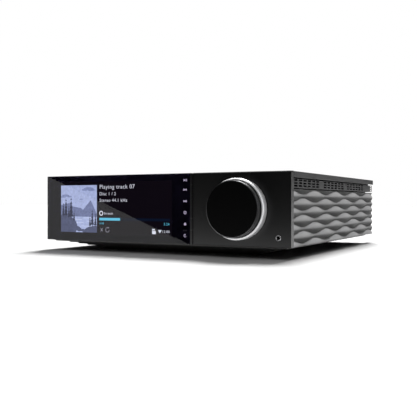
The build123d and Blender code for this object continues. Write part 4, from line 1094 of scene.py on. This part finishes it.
# Speaker terminals: gold-plated posts on moulded plates with six-sided nuts inside, and fluted
# screw caps, red for plus and black for minus, that turn on the posts.
plated_gold = finish(
    "plated_gold", (0.83, 0.60, 0.27), 0.24, grain=200, relief=2, shade=0.05, sockets=metallic,
)
moulded_black = finish("moulded_black", (0.014, 0.014, 0.0145), 0.42, grain=300, relief=8)
plate_front_y = rear_y + 0.003
nut_thickness = 0.004
nut_back_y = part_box("speaker_terminals")[0].y + nut_thickness
posts = eased_copy("speaker_terminals", "terminal_posts", 0.0002)
two_tone(
    posts, plated_gold, moulded_black,
    lambda middle: nut_back_y < middle.y < plate_front_y + 0.0001,
)
place_piece(posts, plated_gold, "terminal_brass", "speaker_terminals")

cap_red = finish("cap_red", (0.42, 0.012, 0.010), 0.36, grain=300, relief=4)
cap_black = finish("cap_black", (0.012, 0.012, 0.012), 0.36, grain=300, relief=4)
cap_bore = 0.00356
cap_edge = 0.0012
cap_flutes = 14
flute_depth = 0.0006
collar_inset = 0.0007
for number, (low, high, middle) in enumerate(caps, 1):
    cap_radius = min(high.x - low.x, high.z - low.z) / 2 - 0.0001
    cap = turned(
        f"fluted_cap_{number}", middle,
        [
            (cap_bore, high.y), (cap_radius - cap_edge, high.y), (cap_radius, high.y - cap_edge),
            (cap_radius, low.y + 0.0028), (cap_radius - collar_inset, low.y + 0.0022),
            (cap_radius - collar_inset, low.y), (cap_bore, low.y),
        ],
        sides=cap_flutes * 8,
    )
    for vertex in cap.data.vertices:
        out = Vector((vertex.co.x - middle.x, 0, vertex.co.z - middle.z))
        turn = Vector((out.x, out.z)).angle_signed(Vector((1, 0)))
        if out.length > cap_radius - 0.0001:
            sink = flute_depth * (0.5 + 0.5 * cos(cap_flutes * turn))
            vertex.co -= out.normalized() * sink
    tint = cap_red if number % 2 else cap_black
    place_smooth(cap, tint, "cap_plastic", f"terminal_cap_{number}", body=f"cap_{number}")

# Line sockets: six gold-plated barrels with a white or a red insulator round the bore, pressed
# into slim black plates, one plate to a pair.
barrel_radius = 0.00415
barrel_wall = 0.0009
bore = 0.00165
lip = bore + 0.0003
insulator_bore, insulator_radius = bore + 0.0002, barrel_radius - 0.0008
line_low, line_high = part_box("line_sockets")
tip_y = line_high.y
barrel = [
    (barrel_radius - barrel_wall, tip_y - 0.0004), (barrel_radius - 0.0007, tip_y),
    (barrel_radius - 0.0003, tip_y), (barrel_radius, tip_y - 0.0004), (barrel_radius, rear_y),
    (barrel_radius - barrel_wall, rear_y),
]
insulator = [
    (insulator_bore, tip_y - 0.0007), (insulator_radius, tip_y - 0.0006),
    (insulator_radius, rear_y + 0.0001), (insulator_bore, rear_y + 0.0001),
]
contact = [(bore, tip_y - 0.0012), (lip, tip_y - 0.0012), (lip, rear_y), (bore, rear_y)]
barrels, plates, insulators = [], [], ([], [])
for x in line_socket_x:
    for half, near_y, far_y in ((0.007, rear_y, rear_y + 0.0006), (0.006, line_low.y, rear_y)):
        plate_low = (x - half, near_y, line_socket_z[1] - half)
        plate_high = (x + half, far_y, line_socket_z[0] + half)
        plates.append(eased_slab("socket_plate", plate_low, plate_high, 0.0002))
    for row, z in enumerate(line_socket_z):
        socket = Vector((x, 0, z))
        barrels.append(turned("barrel", socket, barrel, sides=48))
        insulators[row].append(turned("insulator", socket, insulator, sides=48))
        barrels.append(turned("contact", socket, contact, sides=32))
place_smooth(joined("socket_barrels", barrels), plated_gold, "socket_gold", "line_sockets")
place_piece(joined("socket_plates", plates), moulded_black, "socket_gold")
insulator_tints = (
    finish("insulator_white", (0.62, 0.62, 0.60), 0.45, relief=3),
    finish("insulator_red", (0.40, 0.014, 0.012), 0.45, relief=3),
)
for row, tint in enumerate(insulator_tints):
    place_smooth(joined(f"socket_insulators_{row + 1}", insulators[row]), tint, "socket_gold")

# Data ports: folded nickel-plated shells with black tongues and fine gold contacts, and a black
# moulded optical port with its spring flap.
shell_nickel = finish(
    "shell_nickel", (0.62, 0.62, 0.60), 0.3, grain=300, relief=3, shade=0.08, sockets=metallic,
)
pin_half_thickness = 0.00012
pin_length = 0.006
port_contacts = []
for port, black_x, black_z, pins, pitch, pin_half, pin_rise, pin_back in (
    ("network", 0.0062, 0.0044, 8, 0.00102, 0.00022, 0.0041, 0.003),
    ("usb", 0.0054, 0.0010, 4, 0.0022, 0.0005, -0.0009, 0.0016),
    ("hdmi", 0.0062, 0.0010, 10, 0.001, 0.00022, -0.0009, 0.0016),
):
    low, high, centre = box_of(f"{port}_port")
    shell = eased_copy(f"{port}_port", f"{port}_shell", 0.00012)
    two_tone(
        shell, shell_nickel, moulded_black,
        lambda middle: abs(middle.x - centre.x) < black_x
        and abs(middle.z - centre.z) < black_z
        and low.y + 0.001 < middle.y < high.y - 0.0003,
    )
    place_piece(shell, shell_nickel, "port_shell", f"{port}_port")
    pin_z, pin_front_y = centre.z + pin_rise, high.y - pin_back
    for pin in range(pins):
        pin_x = centre.x + (pin - (pins - 1) / 2) * pitch
        pin_low = (pin_x - pin_half, pin_front_y - pin_length, pin_z - pin_half_thickness)
        pin_high = (pin_x + pin_half, pin_front_y, pin_z + pin_half_thickness)
        port_contacts.append(eased_slab("pin", pin_low, pin_high, 0.00005, 1))
place_piece(joined("port_contacts", port_contacts), plated_gold, "port_shell")
eased("optical_port", "optical_case", 0.0002, moulded_black, "inlet_plastic")
low, high, middle = box_of("optical_port")
flap_size = Vector((0.0040, 0.0003, 0.0040))
middle.y = high.y - 0.0015
flap = eased_slab("optical_flap", middle - flap_size, middle + flap_size, 0.0002)
place_piece(flap, finish("flap_grey", (0.05, 0.05, 0.052), 0.5), "inlet_plastic")

# Mains inlet with its three steel pins, the switch housing beside it, and the rocker with its
# I and O on the two halves of its face.
_, inlet_high, inlet_centre = box_of("mains_inlet")
pin_places = ((-0.007, -0.002), (0, 0.002), (0.007, -0.002))
pin_half_x, pin_half_z, pin_depth = 0.00115, 0.0022, 0.0165
pin_steel = finish("pin_steel", (0.55, 0.55, 0.54), 0.28, grain=200, relief=2, sockets=metallic)


def on_mains_pin(middle):
    """Whether a face's middle lies on one of the three pins."""
    x, z = middle.x - inlet_centre.x, middle.z - inlet_centre.z
    near = any(abs(x - px) < pin_half_x and abs(z - pz) < pin_half_z for px, pz in pin_places)
    return near and inlet_high.y - pin_depth < middle.y


inlet = eased_copy("mains_inlet", "mains_socket", 0.0002)
two_tone(inlet, moulded_black, pin_steel, on_mains_pin)
place_piece(inlet, moulded_black, "inlet_plastic", "mains_inlet")
eased("switch_housing", "switch_case", 0.0002, moulded_black, "inlet_plastic")
rocker_black = finish("rocker_black", (0.017, 0.017, 0.018), 0.33, relief=4)
rocker = eased("power_rocker", "rocker", 0.0002, rocker_black, "rocker_plastic", body="rocker")
halves = [face for face in rocker.data.polygons if face.normal.y > 0.8]
halves = sorted(sorted(halves, key=lambda face: face.area)[-2:], key=lambda face: face.center.z)
rocker_marks = [
    printed(text, half.center, half.normal, 0.0030) for text, half in zip("IO", halves)
]
place_piece(joined("rocker_marks", rocker_marks), print_grey, "rocker_plastic", body="rocker")

# Fasteners and the panels' fixings: blackened screws with six-sided sockets, nickel-plated
# magnets in the rails and bright steel strike plates on the panels' backs.
screw_black = finish(
    "screw_black", (0.06, 0.06, 0.062), 0.32, grain=200, relief=3, sockets=metallic
)
eased("cover_screws", "cover_screw_set", 0.00015, screw_black, "screw_steel")
eased("foot_screws", "foot_screw_set", 0.00015, screw_black, "screw_steel")
magnet_nickel = finish(
    "magnet_nickel", (0.66, 0.64, 0.60), 0.22, grain=300, relief=2, sockets=metallic
)
eased("panel_magnets", "magnet_set", 0.00025, magnet_nickel, "magnet_nickel")
bright_steel = finish(
    "bright_steel", (0.50, 0.50, 0.50), 0.3, relief=3, shade=0.08, sockets=metallic
)
for side in sides:
    eased(
        f"strike_plates_{side}", f"strike_pair_{side}", 0.0002, bright_steel, "bracket_steel",
        body=f"panel_{side}",
    )

# Inside: the boards, modules, supply, heat sink and dial works keep their shapes. Each gets the
# finish of its stuff: green lacquer with copper runs, moulded plastic, turned brass and so on.
copper_runs, given, result = new_group(
    "copper_runs", {"Lacquer": BLACK, "Run": BLACK}, {"Colour": BLACK, "Height": 0},
)
inputs = {
    "Vector": add_node(copper_runs, "TexCoord").outputs["Object"], "Color1": given["Lacquer"],
    "Color2": given["Lacquer"], "Mortar": given["Run"], "Scale": 1, "Mortar Size": 0.0003,
    "Mortar Smooth": 0.1, "Brick Width": 0.011, "Row Height": 0.0023,
}
bricks = add_node(copper_runs, "TexBrick", inputs).outputs
feed(copper_runs, result, {"Colour": bricks["Color"], "Height": bricks["Fac"]})
board_green = finish("board_green", (0, 0, 0), 0.35, grain=800, relief=30)
board_tree = board_green.node_tree
board_tints = {"Lacquer": (0.006, 0.045, 0.018, 1), "Run": (0.03, 0.13, 0.045, 1)}
runs = add_node(board_tree, "Group", board_tints, node_tree=copper_runs).outputs
feed(board_tree, board_tree.nodes["Grain"], {"Colour": runs["Colour"]})
feed(board_tree, board_tree.nodes["Bump"], {"Height": runs["Height"]})
inner_finishes = (
    (board_green, "display_board key_board dial_board headphone_board main_board supply_board"
                  " amplifier_module_left amplifier_module_right streaming_module"),
    (finish("brass", (0.70, 0.50, 0.20), 0.3, relief=4, sockets=metallic),
     "dial_bushing source_sleeve board_spacers"),
    (finish("shaft_steel", (0.55, 0.55, 0.55), 0.22, relief=2, sockets=metallic),
     "volume_shaft"),
    (finish("sink_black", (0.016, 0.016, 0.017), 0.42, relief=8),
     "heat_sink display_frame"),
    (finish("core_steel", (0.20, 0.19, 0.18), 0.45, grain=700, relief=40, shade=0.3,
            sockets=metallic),
     "supply_transformer"),
    (finish("sleeve_blue", (0.012, 0.016, 0.05), 0.3, relief=4), "supply_capacitors"),
    (finish("ribbon_film", (0.30, 0.13, 0.03), 0.35, relief=4, shade=0.2),
     "display_ribbon"),
    (finish("switch_grey", (0.10, 0.10, 0.105), 0.45, relief=6),
     "key_switches dial_encoder"),
    (finish("pipe_clear", (0.80, 0.82, 0.83), 0.12, relief=2, shade=0.03, shine=0.03,
            sockets={"Transmission Weight": 1, "IOR": 1.49}),
     "light_pipes"),
)
for inner_finish, names in inner_finishes:
    for name in names.split():
        for material_slot in nodes[name].material_slots:
            material_slot.material = inner_finish

low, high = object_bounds()
